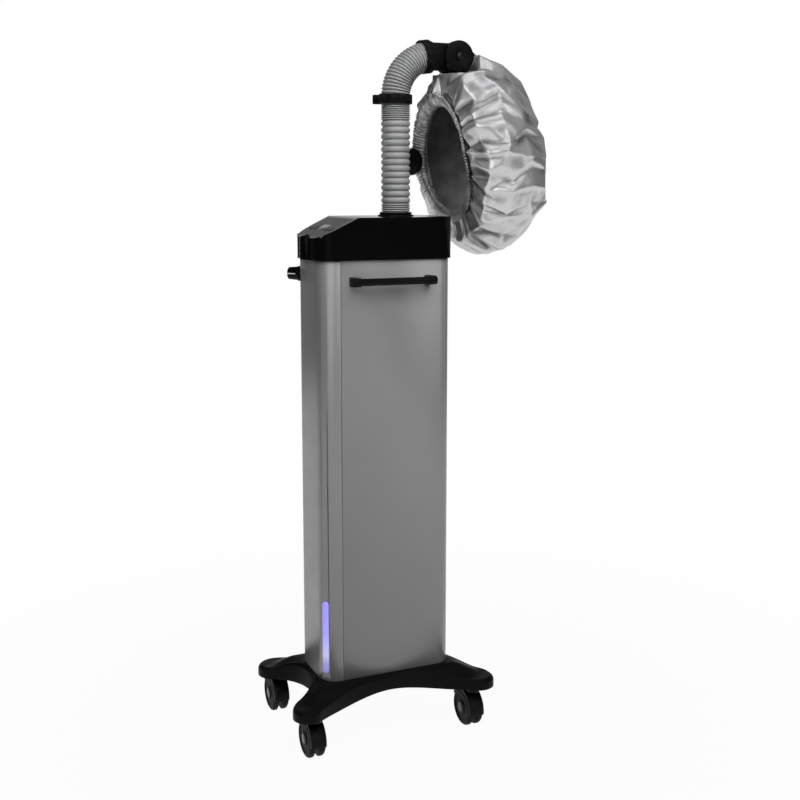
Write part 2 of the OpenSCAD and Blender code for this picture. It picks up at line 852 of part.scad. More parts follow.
// Rings run up the outside over crests and grooves, and down the inside
hose_outer = concat(
    [[0, hose_d / 2 - groove]],
    [for (i = [0:len(rib_at) - 1]) let (next = i < len(rib_at) - 1 ? rib_at[i + 1] : hose_len - 1)
        each [[rib_at[i] + 0.3 * (next - rib_at[i]), hose_d / 2],
            [next - 0.3 * (next - rib_at[i]), hose_d / 2 - groove]]],
    [[hose_len, hose_d / 2 - groove]]);
inner_steps = 16;
hose_inner = [for (i = [inner_steps:-1:0]) [hose_len * i / inner_steps, hose_bore / 2]];
hose_rings = concat(hose_outer, hose_inner);

// A closed skin over rings of equal count that meet again at their start
function ring_faces(rings, sides) = [for (j = [0:rings - 1], i = [0:sides - 1])
    let (a = j * sides, b = ((j + 1) % rings) * sides, k = (i + 1) % sides)
    each [[a + i, b + i, b + k], [a + i, b + k, a + k]]];

module hose() {
    color("#9b9d9f") in_frame() polyhedron(
        points = [for (r = hose_rings) each hose_ring(r[0], r[1])],
        faces = ring_faces(len(hose_rings), hose_sides));
}

clip_h = 18;
clip_z = bend_z - 14;

// Open ring with two ears toward the panel
module hose_clip() {
    color("#101012") in_frame() translate([0, hose_y, clip_z]) difference() {
        union() {
            cylinder(r = hose_d / 2 + 4, h = clip_h);
            for (s = [-1, 1]) translate([s * 16 - 4, -hose_d / 2 - 12, 0]) cube([8, 14, clip_h]);
        }
        translate([0, 0, -1]) cylinder(r = hose_d / 2 + 0.4, h = clip_h + 2);
        translate([-12, -hose_d, -1]) cube([24, hose_d, clip_h + 2]);
    }
}

module at_cuff() {
    translate([0, cuff_y, cuff_z]) rotate([-bend_angle, 0, 0]) children();
}

module hose_cuff() {
    color("#121214") in_frame() at_cuff() difference() {
        translate([0, 0, -16]) cylinder(r = hose_d / 2 + 4, h = 18);
        translate([0, 0, -17]) cylinder(r = hose_d / 2 + 1.6, h = 17);
        translate([0, 0, -17]) cylinder(r = hose_bore / 2, h = 30);
    }
}

// Elbow: turns from the cuff to level, and ends in the hub that the bonnet hangs on
module elbow() {
    color("#101012") in_frame() difference() {
        union() {
            at_cuff() translate([0, 0, 2]) cylinder(r = elbow_r, h = 7);
            translate([0, cuff_y + elbow_bend * cos(bend_angle), cuff_z - elbow_bend * sin(bend_angle)])
                rotate([90, 0, 90]) rotate([0, 0, 90]) rotate_extrude(angle = elbow_turn - 4.5)
                    translate([elbow_bend, 0]) circle(r = elbow_r - 1);
            translate([0, elbow_y, elbow_z]) rotate([-90, 0, 0]) cylinder(r = elbow_r - 1, h = pivot_y - elbow_y);
            translate([0, pivot_y, pivot_z]) rotate([0, 90, 0]) cylinder(r = elbow_r - 1, h = 2 * hub_half, center = true);
        }
        for (s = [-1, 1]) {
            translate([s * (hub_half + 20), pivot_y, pivot_z]) rotate([0, 90, 0])
                cylinder(r = cheek_r + 2, h = 40, center = true);
        }
        translate([0, pivot_y, pivot_z]) rotate([0, 90, 0])
            cylinder(r = pivot_r + run_gap, h = 100, center = true);
    }
}

bolt_half = cheek_in + cheek_w + 0.3;
bolt_head = 4;

module pivot_bolt() {
    color("#c8cacc") in_frame() translate([0, pivot_y, pivot_z]) rotate([0, 90, 0]) {
        cylinder(r = pivot_r, h = 2 * bolt_half, center = true);
        for (s = [0, 1]) mirror([0, 0, s]) translate([0, 0, bolt_half]) cylinder(r = 7, h = bolt_head);
    }
}

// Yoke: two round cheeks on the hub, joined by the collar that carries the bonnet
collar_tilt = 125;
collar_start = cheek_r + 1;
collar_len = 22;
collar_r = 32;

module bonnet_yoke() {
    color("#101012") in_frame() translate([0, pivot_y, pivot_z]) difference() {
        union() {
            for (s = [0, 1]) mirror([s, 0, 0]) translate([cheek_in, 0, 0]) {
                rotate([0, 90, 0]) cylinder(r = cheek_r, h = cheek_w);
                rotate([-collar_tilt, 0, 0]) translate([0, -16, 10]) cube([cheek_w, 32, collar_start]);
            }
            rotate([-collar_tilt, 0, 0]) translate([0, 0, collar_start]) cylinder(r = collar_r, h = collar_len);
        }
        rotate([0, 90, 0]) cylinder(r = pivot_r + run_gap, h = 100, center = true);
        rotate([-collar_tilt, 0, 0]) translate([0, 0, collar_start - 1]) cylinder(r = 24, h = collar_len + 2);
    }
}

// Bonnet: a foil bag drawn up to the collar. Each station is a share of its half size
// and of its depth behind the opening: the rim, the puffed lip, the widest part, the back.
stations = [[opening_share, 0], [opening_share + 0.04, -0.07], [0.69, -0.11], [0.8, -0.09], [0.9, -0.01],
    [0.97, 0.11], [1, widest], [0.985, 0.36], [0.93, 0.486], [0.83, 0.614], [0.66, 0.743],
    [0.42, 0.848], [0.18, 0.899]];
lip_stations = 6;
rings = len(stations);
mean_half = (bonnet_w + bonnet_h) / 4;
narrowing = 0.12;
opening_drop = 12;
opening_squat = 0.08;
lean = 20;

// A station in millimetres, and its way out, square to the skin
function station(j) = [stations[j][0] * mean_half, stations[j][1] * bonnet_depth];
function way_out(j) = let (d = station(min(rings - 1, j + 1)) - station(max(0, j - 1)))
    [d[1], -d[0]] / norm(d);

// Places a distance from the axis and a depth at an angle round the bonnet. The bag
// narrows upward, its opening sits a little low and the whole of it leans back below.
function bonnet_place(at, t, front) = let (
        share = at[0] / mean_half,
        open = front ? max(0, (1 - share) / (1 - opening_share)) : 0,
        up = bonnet_h / 2 * share * cos(t) * (1 - opening_squat * open) - opening_drop * open,
        high = up / (bonnet_h / 2),
        keep = 1 - narrowing * (high + 0.3 * max(0, high) * max(0, high)),
        mid = widest * bonnet_depth,
        deep = at[1] > mid ? mid + (at[1] - mid) * keep : at[1] < 0 ? at[1] * (1 + 1.4 * min(0, high)) : at[1])
    [bonnet_w / 2 * share * sin(t) * keep, bonnet_front + deep - lean * high, bonnet_z + up];

// Folds that deepen toward the widest part
function fold(j, t) = fold_depth * max(0, stations[j][0] - opening_share) * cos(fold_count * t);
function bonnet_ring(j, inset) = [for (i = [0:bonnet_sides - 1]) let (t = 360 * i / bonnet_sides)
    bonnet_place(station(j) + (fold(j, t) - inset) * way_out(j), t, j < lip_stations)];
function bonnet_pole(inset) = [0, bonnet_front + back_share * bonnet_depth - inset, bonnet_z];

// Reach of the front arms and of the bonnet's back, from the middle of the column
front_reach = tip_y + tip_r;
rear_reach = max([for (j = [0:rings - 1]) for (p = bonnet_ring(j, 0)) p[1]]);
stand_y = (front_reach - rear_reach) / 2;

// The skin runs from the rim out to the back pole, and again inside it
bonnet_faces = let (n = bonnet_sides, last = (rings - 1) * n, in = rings * n, pole = 2 * rings * n) concat(
    [for (j = [0:rings - 2], i = [0:n - 1]) let (a = j * n, b = a + n, k = (i + 1) % n)
        each [[a + i, b + i, b + k], [a + i, b + k, a + k]]],
    [for (i = [0:n - 1]) let (k = (i + 1) % n) [last + i, pole, last + k]],
    [for (i = [0:n - 1]) let (k = (i + 1) % n) [in + i, in + k, pole + 1]],
    [for (j = [0:rings - 2], i = [0:n - 1]) let (a = in + j * n, b = a + n, k = (i + 1) % n)
        each [[a + i, b + i, b + k], [a + i, b + k, a + k]]],
    [for (i = [0:n - 1]) let (a = in + last, k = (i + 1) % n)
        each [[a + i, i, k], [a + i, k, a + k]]]);

module bonnet() {
    color("#c4c6c8") in_frame() difference() {
        polyhedron(
            points = concat([for (j = [0:rings - 1]) each bonnet_ring(j, 0)],
                [for (j = [rings - 1:-1:0]) each bonnet_ring(j, foil)], [bonnet_pole(0), bonnet_pole(foil)]),
            faces = bonnet_faces);
        translate([0, pivot_y, pivot_z]) rotate([-collar_tilt, 0, 0])
            cylinder(r = collar_r + 0.8, h = collar_start + collar_len + 20);
        translate([0, pivot_y, pivot_z]) {
            rotate([0, 90, 0]) cylinder(r = cheek_r + 1, h = 2 * (bolt_half + bolt_head) + 3, center = true);
            rotate([90, 0, 0]) cylinder(r = elbow_r + 2, h = elbow_run + 50);
        }
        on_plug() cylinder(r = plug_stem_r + run_gap, h = 30, center = true);
    }
}

// Elastic band in the rim, gathered in small waves
band_sides = 96;
band_waves = 32;
band_crinkle = 0.14;

function band_ring(i) = let (t = 360 * i / band_sides, r = band_r * (1 + band_crinkle * cos(band_waves * t)))
    [for (k = [0:7]) bonnet_place(station(0) + (band_r * (1 + band_crinkle) + 0.2) * way_out(0)
        + r * [cos(45 * k), sin(45 * k)], t, true)];

module bonnet_band() {
    color("#a8aaac") in_frame() polyhedron(
        points = [for (i = [0:band_sides - 1]) each band_ring(i)],
        faces = ring_faces(band_sides, 8));
}

// Round plug in the far side of the lip
plug_r = 28;
plug_stem_r = 6;
plug_lean = 30;
plug_ring = 2;

module on_plug() {
    translate(bonnet_place(station(plug_ring), 270, true)) rotate([0, 0, plug_lean]) rotate([90, 0, 0]) children();
}

module bonnet_plug() {
    color("#141416") in_frame() on_plug() {
        translate([0, 0, 7]) cylinder(r = plug_r, h = 9);
        translate([0, 0, -9]) cylinder(r = plug_stem_r, h = 17);
    }
}

base_casting();
ballast_plate();
stem_sockets();
base_screws();
caster_yoke(0);  // caster_yoke_fr
caster_yoke(1);  // caster_yoke_fl
caster_yoke(2);  // caster_yoke_rr
caster_yoke(3);  // caster_yoke_rl
caster_wheels(0);  // caster_wheels_fr
caster_wheels(1);  // caster_wheels_fl
caster_wheels(2);  // caster_wheels_rr
caster_wheels(3);  // caster_wheels_rl
floor_plate();
chassis();
front_shell();
side_panel(0);  // side_panel_right
side_panel(1);  // side_panel_left
rear_panel();
panel_screws();
handle(0);  // handle_right
handle(1);  // handle_left
level_lens();
light_board();
power_inlet();
switch_frame();
rocker_switch();
water_tank();
tank_front();
tank_cap();
pump();
feed_tube();
boiler_body();
boiler_lid();
heating_element();
steam_duct();
blower_housing();
blower_motor();
impeller();
power_board();
head_shell();
control_panel();
display_window();
control_board();
key(0);  // key_power
key(1);  // key_less
key(2);  // key_more
key(3);  // key_light
flow_knob();
flow_valve();
hose_socket();
hose_root();
hose();
hose_clip();
hose_cuff();
elbow();
pivot_bolt();
bonnet_yoke();
bonnet();
bonnet_band();
bonnet_plug();
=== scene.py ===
import json
import math
import bpy
import bmesh
import numpy as np
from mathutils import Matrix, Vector


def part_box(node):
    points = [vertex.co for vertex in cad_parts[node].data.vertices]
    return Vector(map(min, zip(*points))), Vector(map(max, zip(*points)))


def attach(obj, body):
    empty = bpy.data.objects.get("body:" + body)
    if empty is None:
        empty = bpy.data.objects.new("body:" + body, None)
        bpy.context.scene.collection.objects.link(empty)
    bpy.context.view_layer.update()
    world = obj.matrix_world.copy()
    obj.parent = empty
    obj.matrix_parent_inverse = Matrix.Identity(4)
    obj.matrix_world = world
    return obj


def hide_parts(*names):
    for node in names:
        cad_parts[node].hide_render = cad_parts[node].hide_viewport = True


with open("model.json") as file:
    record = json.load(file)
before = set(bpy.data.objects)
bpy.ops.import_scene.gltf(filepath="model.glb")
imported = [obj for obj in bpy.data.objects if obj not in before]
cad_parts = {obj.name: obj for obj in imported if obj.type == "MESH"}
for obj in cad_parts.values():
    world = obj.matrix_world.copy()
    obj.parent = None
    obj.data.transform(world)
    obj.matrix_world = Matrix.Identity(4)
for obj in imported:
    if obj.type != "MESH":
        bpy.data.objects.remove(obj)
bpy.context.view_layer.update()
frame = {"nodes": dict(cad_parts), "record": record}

joint = {j["name"]: np.array(j["pos_m"]) for j in frame["record"]["behaviour"]["joints"] if "pos_m" in j}
hose_foot = joint["hose_swivel"]

# Camera
# Stands at chest height on the side with the light strip, a little toward the panel, and looks
# down at the column. Its place is measured from the axis of the hose.
to_side, to_panel, eye_z = 2.0964, 0.9209, 1.10
look_down, look_round = 8.06, 66.07
focal_px, picture_px = 1156, 800
camera = bpy.data.objects.new("camera", bpy.data.cameras.new("camera"))
bpy.context.scene.collection.objects.link(camera)
camera.location = (hose_foot[0] + to_side, hose_foot[1] - to_panel, eye_z)
camera.rotation_euler = (math.radians(90 - look_down), 0, math.radians(look_round))
camera.data.sensor_width = 36
camera.data.lens = 36 * focal_px / picture_px
camera.data.shift_y = -0.065
bpy.context.scene.camera = camera

# Studio
# A pale floor that runs out to white under a white world, and four large soft lamps: one high
# over the panel side, one on the camera's side, one behind and one on the far side. What gloss
# sees is drawn in the world instead: a pale backdrop, three soft boxes and a dim room between.
bpy.context.scene.view_settings.view_transform = "Standard"
world = bpy.data.worlds.new("studio")
bpy.context.scene.world = world
world.use_nodes = True
tree = world.node_tree
tree.nodes.clear()


def joined(tree, kind, *inputs, op=None, out=0, **named):
    """Adds a node to a tree, fills or links its inputs by order or by name, and gives one of its outputs."""
    n = tree.nodes.new(kind)
    if op:
        n.operation = op
    for socket, value in [*enumerate(inputs), *((k.replace("_", " "), v) for k, v in named.items())]:
        if hasattr(value, "links"):
            tree.links.new(value, n.inputs[socket])
        else:
            n.inputs[socket].default_value = value
    return n.outputs[out]


rays = tree.nodes.new("ShaderNodeLightPath").outputs
way = joined(tree, "ShaderNodeTexCoord", out="Generated")
from_camera = (-0.915, 0.402, 0.0)
facing = joined(tree, "ShaderNodeVectorMath", way, from_camera, op="DOT_PRODUCT", out="Value")
behind = joined(tree, "ShaderNodeMapRange", facing, 0.80, 0.95, 0.0, 1.0)
rise = joined(tree, "ShaderNodeSeparateXYZ", way, out="Z")
low_down = joined(tree, "ShaderNodeMapRange", rise, 0.55, 0.15, 0.0, 1.0)
tone = joined(tree, "ShaderNodeMath", behind, low_down, op="MULTIPLY")
# Each soft box: the way to it, how nearly a ray points there at its edge and inside, its strength
soft_boxes = (((0.70, -0.63, 0.34), 0.92, 0.95, 1.7), ((0.90, 0.20, 0.38), 0.93, 0.97, 1.35),
              ((0.15, 0.10, 0.98), 0.90, 0.96, 1.1))
for toward, edge, inner, level in soft_boxes:
    aim = tuple(np.array(toward) / np.linalg.norm(toward))
    nearness = joined(tree, "ShaderNodeVectorMath", way, aim, op="DOT_PRODUCT", out="Value")
    box = joined(tree, "ShaderNodeMapRange", nearness, edge, inner, 0.0, level)
    tone = joined(tree, "ShaderNodeMath", tone, box, op="MAXIMUM")
dim_room, fill_light, backdrop = 0.05, 0.15, 1.0
tone = joined(tree, "ShaderNodeMath", tone, dim_room, op="MAXIMUM")
gloss_sees = joined(tree, "ShaderNodeBackground", (1, 1, 1, 1), tone)
lit = joined(tree, "ShaderNodeBackground", (1, 1, 1, 1), fill_light)
white = joined(tree, "ShaderNodeBackground", (1, 1, 1, 1), backdrop)
seen = joined(tree, "ShaderNodeMath", rays["Is Camera Ray"], rays["Is Transmission Ray"], op="MAXIMUM")
unseen = joined(tree, "ShaderNodeMixShader", rays["Is Glossy Ray"], lit, gloss_sees)
sky = joined(tree, "ShaderNodeMixShader", seen, unseen, white)
tree.links.new(sky, tree.nodes.new("ShaderNodeOutputWorld").inputs["Surface"])


def lamp(name, at, to, size, watts):
    """A square soft lamp at a place, turned toward another and hidden from gloss."""
    data = bpy.data.lights.new(name, "AREA")
    data.shape = "SQUARE"
    data.size = size
    data.energy = watts
    o = bpy.data.objects.new(name, data)
    bpy.context.scene.collection.objects.link(o)
    o.visible_glossy = False
    o.location = at
    o.rotation_euler = (Vector(to) - Vector(at)).to_track_quat("-Z", "Y").to_euler()


lamp("lamp_high", (1.3, -1.7, 2.6), (0, 0, 1.0), 1.6, 34)
lamp("lamp_side", (1.25, 0.15, 2.2), (0, 0, 0.9), 1.3, 42)
lamp("lamp_back", (-1.2, 2.1, 2.2), (0, 0.1, 0.9), 1.6, 42)
lamp("lamp_far", (-2.0, -0.1, 2.0), (0, 0, 0.9), 1.4, 34)

# The floor is matt where it is lit, and shines by itself where the camera or gloss looks at it
floor_r, sides = 6, 96
turn = np.linspace(0, 2 * np.pi, sides + 1)[:-1]
rim = floor_r * np.stack([np.cos(turn), np.sin(turn), 0 * turn], 1)
floor_mesh = bpy.data.meshes.new("floor")
slices = [(0, i + 1, (i + 1) % sides + 1) for i in range(sides)]
floor_mesh.from_pydata([[0, 0, 0], *rim.tolist()], [], slices)
floor = bpy.data.objects.new("floor", floor_mesh)
bpy.context.scene.collection.objects.link(floor)
pale = bpy.data.materials.new("pale_floor")
pale.use_nodes = True
tree = pale.node_tree
tree.nodes.clear()
rays = tree.nodes.new("ShaderNodeLightPath").outputs
place = joined(tree, "ShaderNodeTexCoord", out="Object")
far = joined(tree, "ShaderNodeVectorMath", place, op="LENGTH", out="Value")
shaded_to, white_from, shade = 0.5, 1.5, 0.96
fade = joined(tree, "ShaderNodeMapRange", far, shaded_to, white_from, shade, 1.0)
seen = joined(tree, "ShaderNodeMath", rays["Is Camera Ray"], rays["Is Glossy Ray"], op="MAXIMUM")
share = joined(tree, "ShaderNodeMath", seen, fade, op="MULTIPLY")
matt = joined(tree, "ShaderNodeBsdfDiffuse", Color=(0.26, 0.26, 0.26, 1))
glow = joined(tree, "ShaderNodeEmission", Strength=1.0)
surface = joined(tree, "ShaderNodeMixShader", share, matt, glow)
tree.links.new(surface, tree.nodes.new("ShaderNodeOutputMaterial").inputs["Surface"])
floor_mesh.materials.append(pale)

# Base casting
# A cast saddle with four arms, powder coated black. It is a shell, open below, whose top falls
# from the column's foot to the arm tips, and the ballast is screwed up into it.


def finish(name, colour, rough, metal=0.0, patch=12.0, vary=0.08, grain=700.0, depth=2e-5, stretch=(1, 1, 1),
           **sockets):
    """A material whose colour and gloss vary over soft patches, with a fine grain raised on it.

    patch and grain are noise scales per metre, depth is the grain's height in metres, and
    stretch draws both out along an axis, as brushing does.
    """
    m = bpy.data.materials.new(name)
    m.use_nodes = True
    t = m.node_tree
    skin = t.nodes["Principled BSDF"]
    place = joined(t, "ShaderNodeTexCoord", out="Object")
    drawn = joined(t, "ShaderNodeMapping", place, Scale=stretch)

    def noise(scale, detail):
        return joined(t, "ShaderNodeTexNoise", Vector=drawn, Scale=scale, Detail=detail)

    def spread(value, low, high):
        return joined(t, "ShaderNodeMapRange", value, 0.3, 0.7, low, high)

    mix = t.nodes.new("ShaderNodeMix")
    mix.data_type = "RGBA"
    mix.inputs[6].default_value = [*(c * (1 - vary) for c in colour), 1]
    mix.inputs[7].default_value = [*(min(1, c * (1 + vary)) for c in colour), 1]
    t.links.new(spread(noise(patch, 4), 0, 1), mix.inputs[0])
    t.links.new(mix.outputs[2], skin.inputs["Base Color"])
    t.links.new(spread(noise(patch * 5, 6), rough * 0.9, rough * 1.12), skin.inputs["Roughness"])
    skin.inputs["Metallic"].default_value = metal
    raised = joined(t, "ShaderNodeBump", Strength=1.0, Distance=depth, Height=noise(grain, 3))
    t.links.new(raised, skin.inputs["Normal"])
    for socket, value in sockets.items():
        skin.inputs[socket.replace("_", " ")].default_value = value
    return m


def dress(node, material, edge=0.0008):
    """Gives a CAD node its material, and breaks its sharp edges by a small round or keeps them crisp."""
    o = frame["nodes"][node]
    o.data.materials.clear()
    o.data.materials.append(material)
    o.data.polygons.foreach_set("use_smooth", [True] * len(o.data.polygons))
    weld = o.modifiers.new("weld", "WELD")
    weld.merge_threshold = 2e-5
    if edge:
        bevel = o.modifiers.new("edge", "BEVEL")
        bevel.width = edge
        bevel.segments = 2
        bevel.limit_method = "ANGLE"
        bevel.angle_limit = math.radians(40)
        bevel.harden_normals = True
    else:
        split = o.modifiers.new("edge", "EDGE_SPLIT")
        split.split_angle = math.radians(35)


def make(name, verts, faces, materials, body, sharp=40, outward=False, merge=1e-6, crease=None, second=None):
    """Puts worked-out points and faces into an object that rides on a body.

    The crease argument is painted shade: a depth for each point, kept to darken its material's colour,
    and second is the first face of the second material.
    """
    mesh = bpy.data.meshes.new(name)
    mesh.from_pydata(np.asarray(verts).tolist(), [], np.asarray(faces).tolist())
    if crease is not None:
        kept = mesh.attributes.new("crease", "FLOAT", "POINT")
        kept.data.foreach_set("value", np.asarray(crease, np.float32))
    if second is not None:
        mesh.polygons.foreach_set("material_index", (np.arange(len(mesh.polygons)) >= second).astype(int))
    b = bmesh.new()
    b.from_mesh(mesh)
    bmesh.ops.remove_doubles(b, verts=b.verts, dist=merge)
    if outward:
        bmesh.ops.recalc_face_normals(b, faces=b.faces)
    b.to_mesh(mesh)
    b.free()
    mesh.polygons.foreach_set("use_smooth", [True] * len(mesh.polygons))
    mesh.set_sharp_from_angle(angle=math.radians(sharp))
    for m in materials if isinstance(materials, (list, tuple)) else [materials]:
        mesh.materials.append(m)
    o = bpy.data.objects.new(name, mesh)
    bpy.context.scene.collection.objects.link(o)
    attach(o, body)
    return o


def weave(rows, cols, round_cols=True, round_rows=False):
    """Faces of a grid of points: each cell is a square, closed round its columns, its rows or neither."""
    i = np.arange(rows if round_rows else rows - 1)
    j = np.arange(cols if round_cols else cols - 1)
    a, b = np.meshgrid(i, j, indexing="ij")
    a, b = a.ravel(), b.ravel()
    up, on = (a + 1) % rows, (b + 1) % cols
    return np.stack([a * cols + b, a * cols + on, up * cols + on, up * cols + b], 1)


def smooth(t):
    """Eases from 0 to 1 with level ends."""
    t = np.clip(t, 0, 1)
    return t * t * (3 - 2 * t)


def stacked(*parts):
    """Joins several (points, faces) pairs into one."""
    verts, faces, n = [], [], 0
    for v, f in parts:
        verts.append(np.asarray(v).reshape(-1, 3))
        faces.append(np.asarray(f) + n)
        n += len(verts[-1])
    return np.vstack(verts), np.vstack(faces)


cast_black = finish("cast_black", (0.003, 0.003, 0.0033), 0.42, patch=9, vary=0.25, grain=420, depth=6e-5,
                    Specular_IOR_Level=0.07)
low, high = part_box("base_casting")
sockets_low, sockets_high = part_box("stem_sockets")
socket_r = 0.011
stem_x, stem_y = sockets_high[0] - socket_r, (sockets_high[1] - sockets_low[1]) / 2 - socket_r
middle_y = (low[1] + high[1]) / 2
foot_z = high[2]
tip = high[0] - stem_x
tip_y = (high[1] - low[1]) / 2 - tip


def base_outline(n):
    """Plan of the casting, as points round it: four round tips joined by hollow arcs that touch them.

    Each hollow is a circle whose middle is out beyond the waist. The tips' circles touch it, so
    the outline changes from one arc to the next on the line between their middles.
    """
    waist_x, waist_y = 0.086, 0.142

    def hollow(a, b, waist):
        return ((waist - a) ** 2 + b * b - tip * tip) / (2 * (tip + a - waist))

    rs, rf = hollow(stem_x, tip_y, waist_x), hollow(tip_y, stem_x, waist_y)
    side_end = np.arctan2(tip_y, waist_x + rs - stem_x)
    front_end = np.arctan2(stem_x, waist_y + rf - tip_y)
    a = np.linspace(0, side_end, n)[:-1]
    side = np.stack([waist_x + rs - rs * np.cos(a), rs * np.sin(a)], 1)
    a = np.linspace(-side_end, np.pi / 2 + front_end, n)[:-1]
    round_tip = np.stack([stem_x + tip * np.cos(a), tip_y + tip * np.sin(a)], 1)
    a = np.linspace(front_end, 0, n)[:-1]
    front = np.stack([rf * np.sin(a), waist_y + rf - rf * np.cos(a)], 1)
    quarter = np.vstack([side, round_tip, front, [[0, waist_y]]])
    left = quarter[::-1][1:] * [-1, 1]
    half = np.vstack([quarter, left])
    return np.vstack([half, half[::-1][1:-1] * [1, -1]])


def saddle(x, y):
    """Height of the casting's top: it falls toward the ends and toward the sides.

    The two falls join as the root of the sum of their squares, and end at the tips' level.
    """
    foot_x, foot_y, level_end, drop, most = 0.079, 0.138, 0.014, 0.020, 0.0215
    toward_end = smooth((np.abs(y) - foot_y) / (tip_y + tip - level_end - foot_y))
    toward_side = smooth((np.abs(x) - foot_x) / (stem_x + tip - level_end - foot_x))
    fall = drop * np.sqrt(toward_end ** 2 + toward_side ** 2 + 1e-9)
    return foot_z - np.minimum(fall, most)


def skirt(y):
    """Height of the casting's lower edge: an arch between the arms."""
    arm_under, arch, arch_end = 0.088, 0.012, 0.14
    return arm_under + arch * (1 - smooth(np.abs(y) / arch_end))


def drawn_in(points, by):
    """Moves points of a plan straight toward its middle by a length, or out where it is negative."""
    return points * (1 - by / np.linalg.norm(points, axis=1))[:, None]


# Rings of points: the top from its middle out, the rounded edge, then the side down to its lip
plan = base_outline(26)
count = len(plan)
round_r, lip, wall_t = 0.010, 0.0012, 0.005
top_plan = drawn_in(plan, round_r)
rows = [np.repeat([[0, 0, foot_z]], count, 0)]
for share in np.linspace(0, 1, 26)[1:] ** 0.8:
    rows.append(np.column_stack([top_plan * share, saddle(*(top_plan * share).T)]))
edge = rows[-1]
for a in np.radians(np.linspace(12, 90, 8)):
    ring = drawn_in(edge[:, :2], -round_r * np.sin(a))
    rows.append(np.column_stack([ring, edge[:, 2] - round_r * (1 - np.cos(a))]))
top_edge = rows[-1][:, 2]
for t in (0.35, 0.7, 0.94, 1.0):
    ring = drawn_in(plan, lip if t == 1.0 else 0)
    rows.append(np.column_stack([ring, top_edge + (skirt(plan[:, 1]) - top_edge) * t]))
grid = np.array(rows)
grid[..., 1] += middle_y
casting = make("casting", grid.reshape(-1, 3), weave(len(rows), count), cast_black, "stand", sharp=60,
               outward=True)
wall = casting.modifiers.new("wall", "SOLIDIFY")
wall.thickness = wall_t
wall.offset = -1


def turned(profile, steps=64, at=(0, 0, 0), axis="z"):
    """Points and faces of a turned piece: a profile of (radius, height) carried round an axis."""
    p = np.asarray(profile, float)
    a = np.linspace(0, 2 * np.pi, steps + 1)[:-1]
    r, h = p[:, 0][:, None], p[:, 1][:, None]
    x, y, z = r * np.cos(a), r * np.sin(a), h + 0 * a
    order = {"z": (x, y, z), "y": (y, z, x)}[axis]
    return np.stack(order, -1).reshape(-1, 3) + np.asarray(at), weave(len(p), steps)


# A boss under each tip, a tube round the stem's socket
boss_profile = [(0.0112, 0.0885), (0.015, 0.0885), (0.0165, 0.090), (0.0165, 0.108), (0.0112, 0.108),
                (0.0112, 0.0885)]
bosses = [turned(boss_profile, 40, (sx * stem_x, middle_y + sy * stem_y, 0))
          for sx in (-1, 1) for sy in (-1, 1)]
boss = make("casting_bosses", *stacked(*bosses), cast_black, "stand", outward=True)
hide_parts("base_casting")

# Ballast, stem sockets and screws
# A painted steel plate held up in the casting's pocket by four cap screws, and four turned
# steel sockets pressed into the arm tips.
dress("ballast_plate", finish("ballast_paint", (0.10, 0.105, 0.11), 0.55, 0.3, patch=18, vary=0.25, grain=260,
                              depth=1e-4), 0.001)
turned_steel = finish("turned_steel", (0.56, 0.57, 0.58), 0.28, 1.0, patch=30, vary=0.06, grain=1400,
                      depth=6e-6)
for node in ("stem_sockets", "base_screws"):
    dress(node, turned_steel, 0.0004)

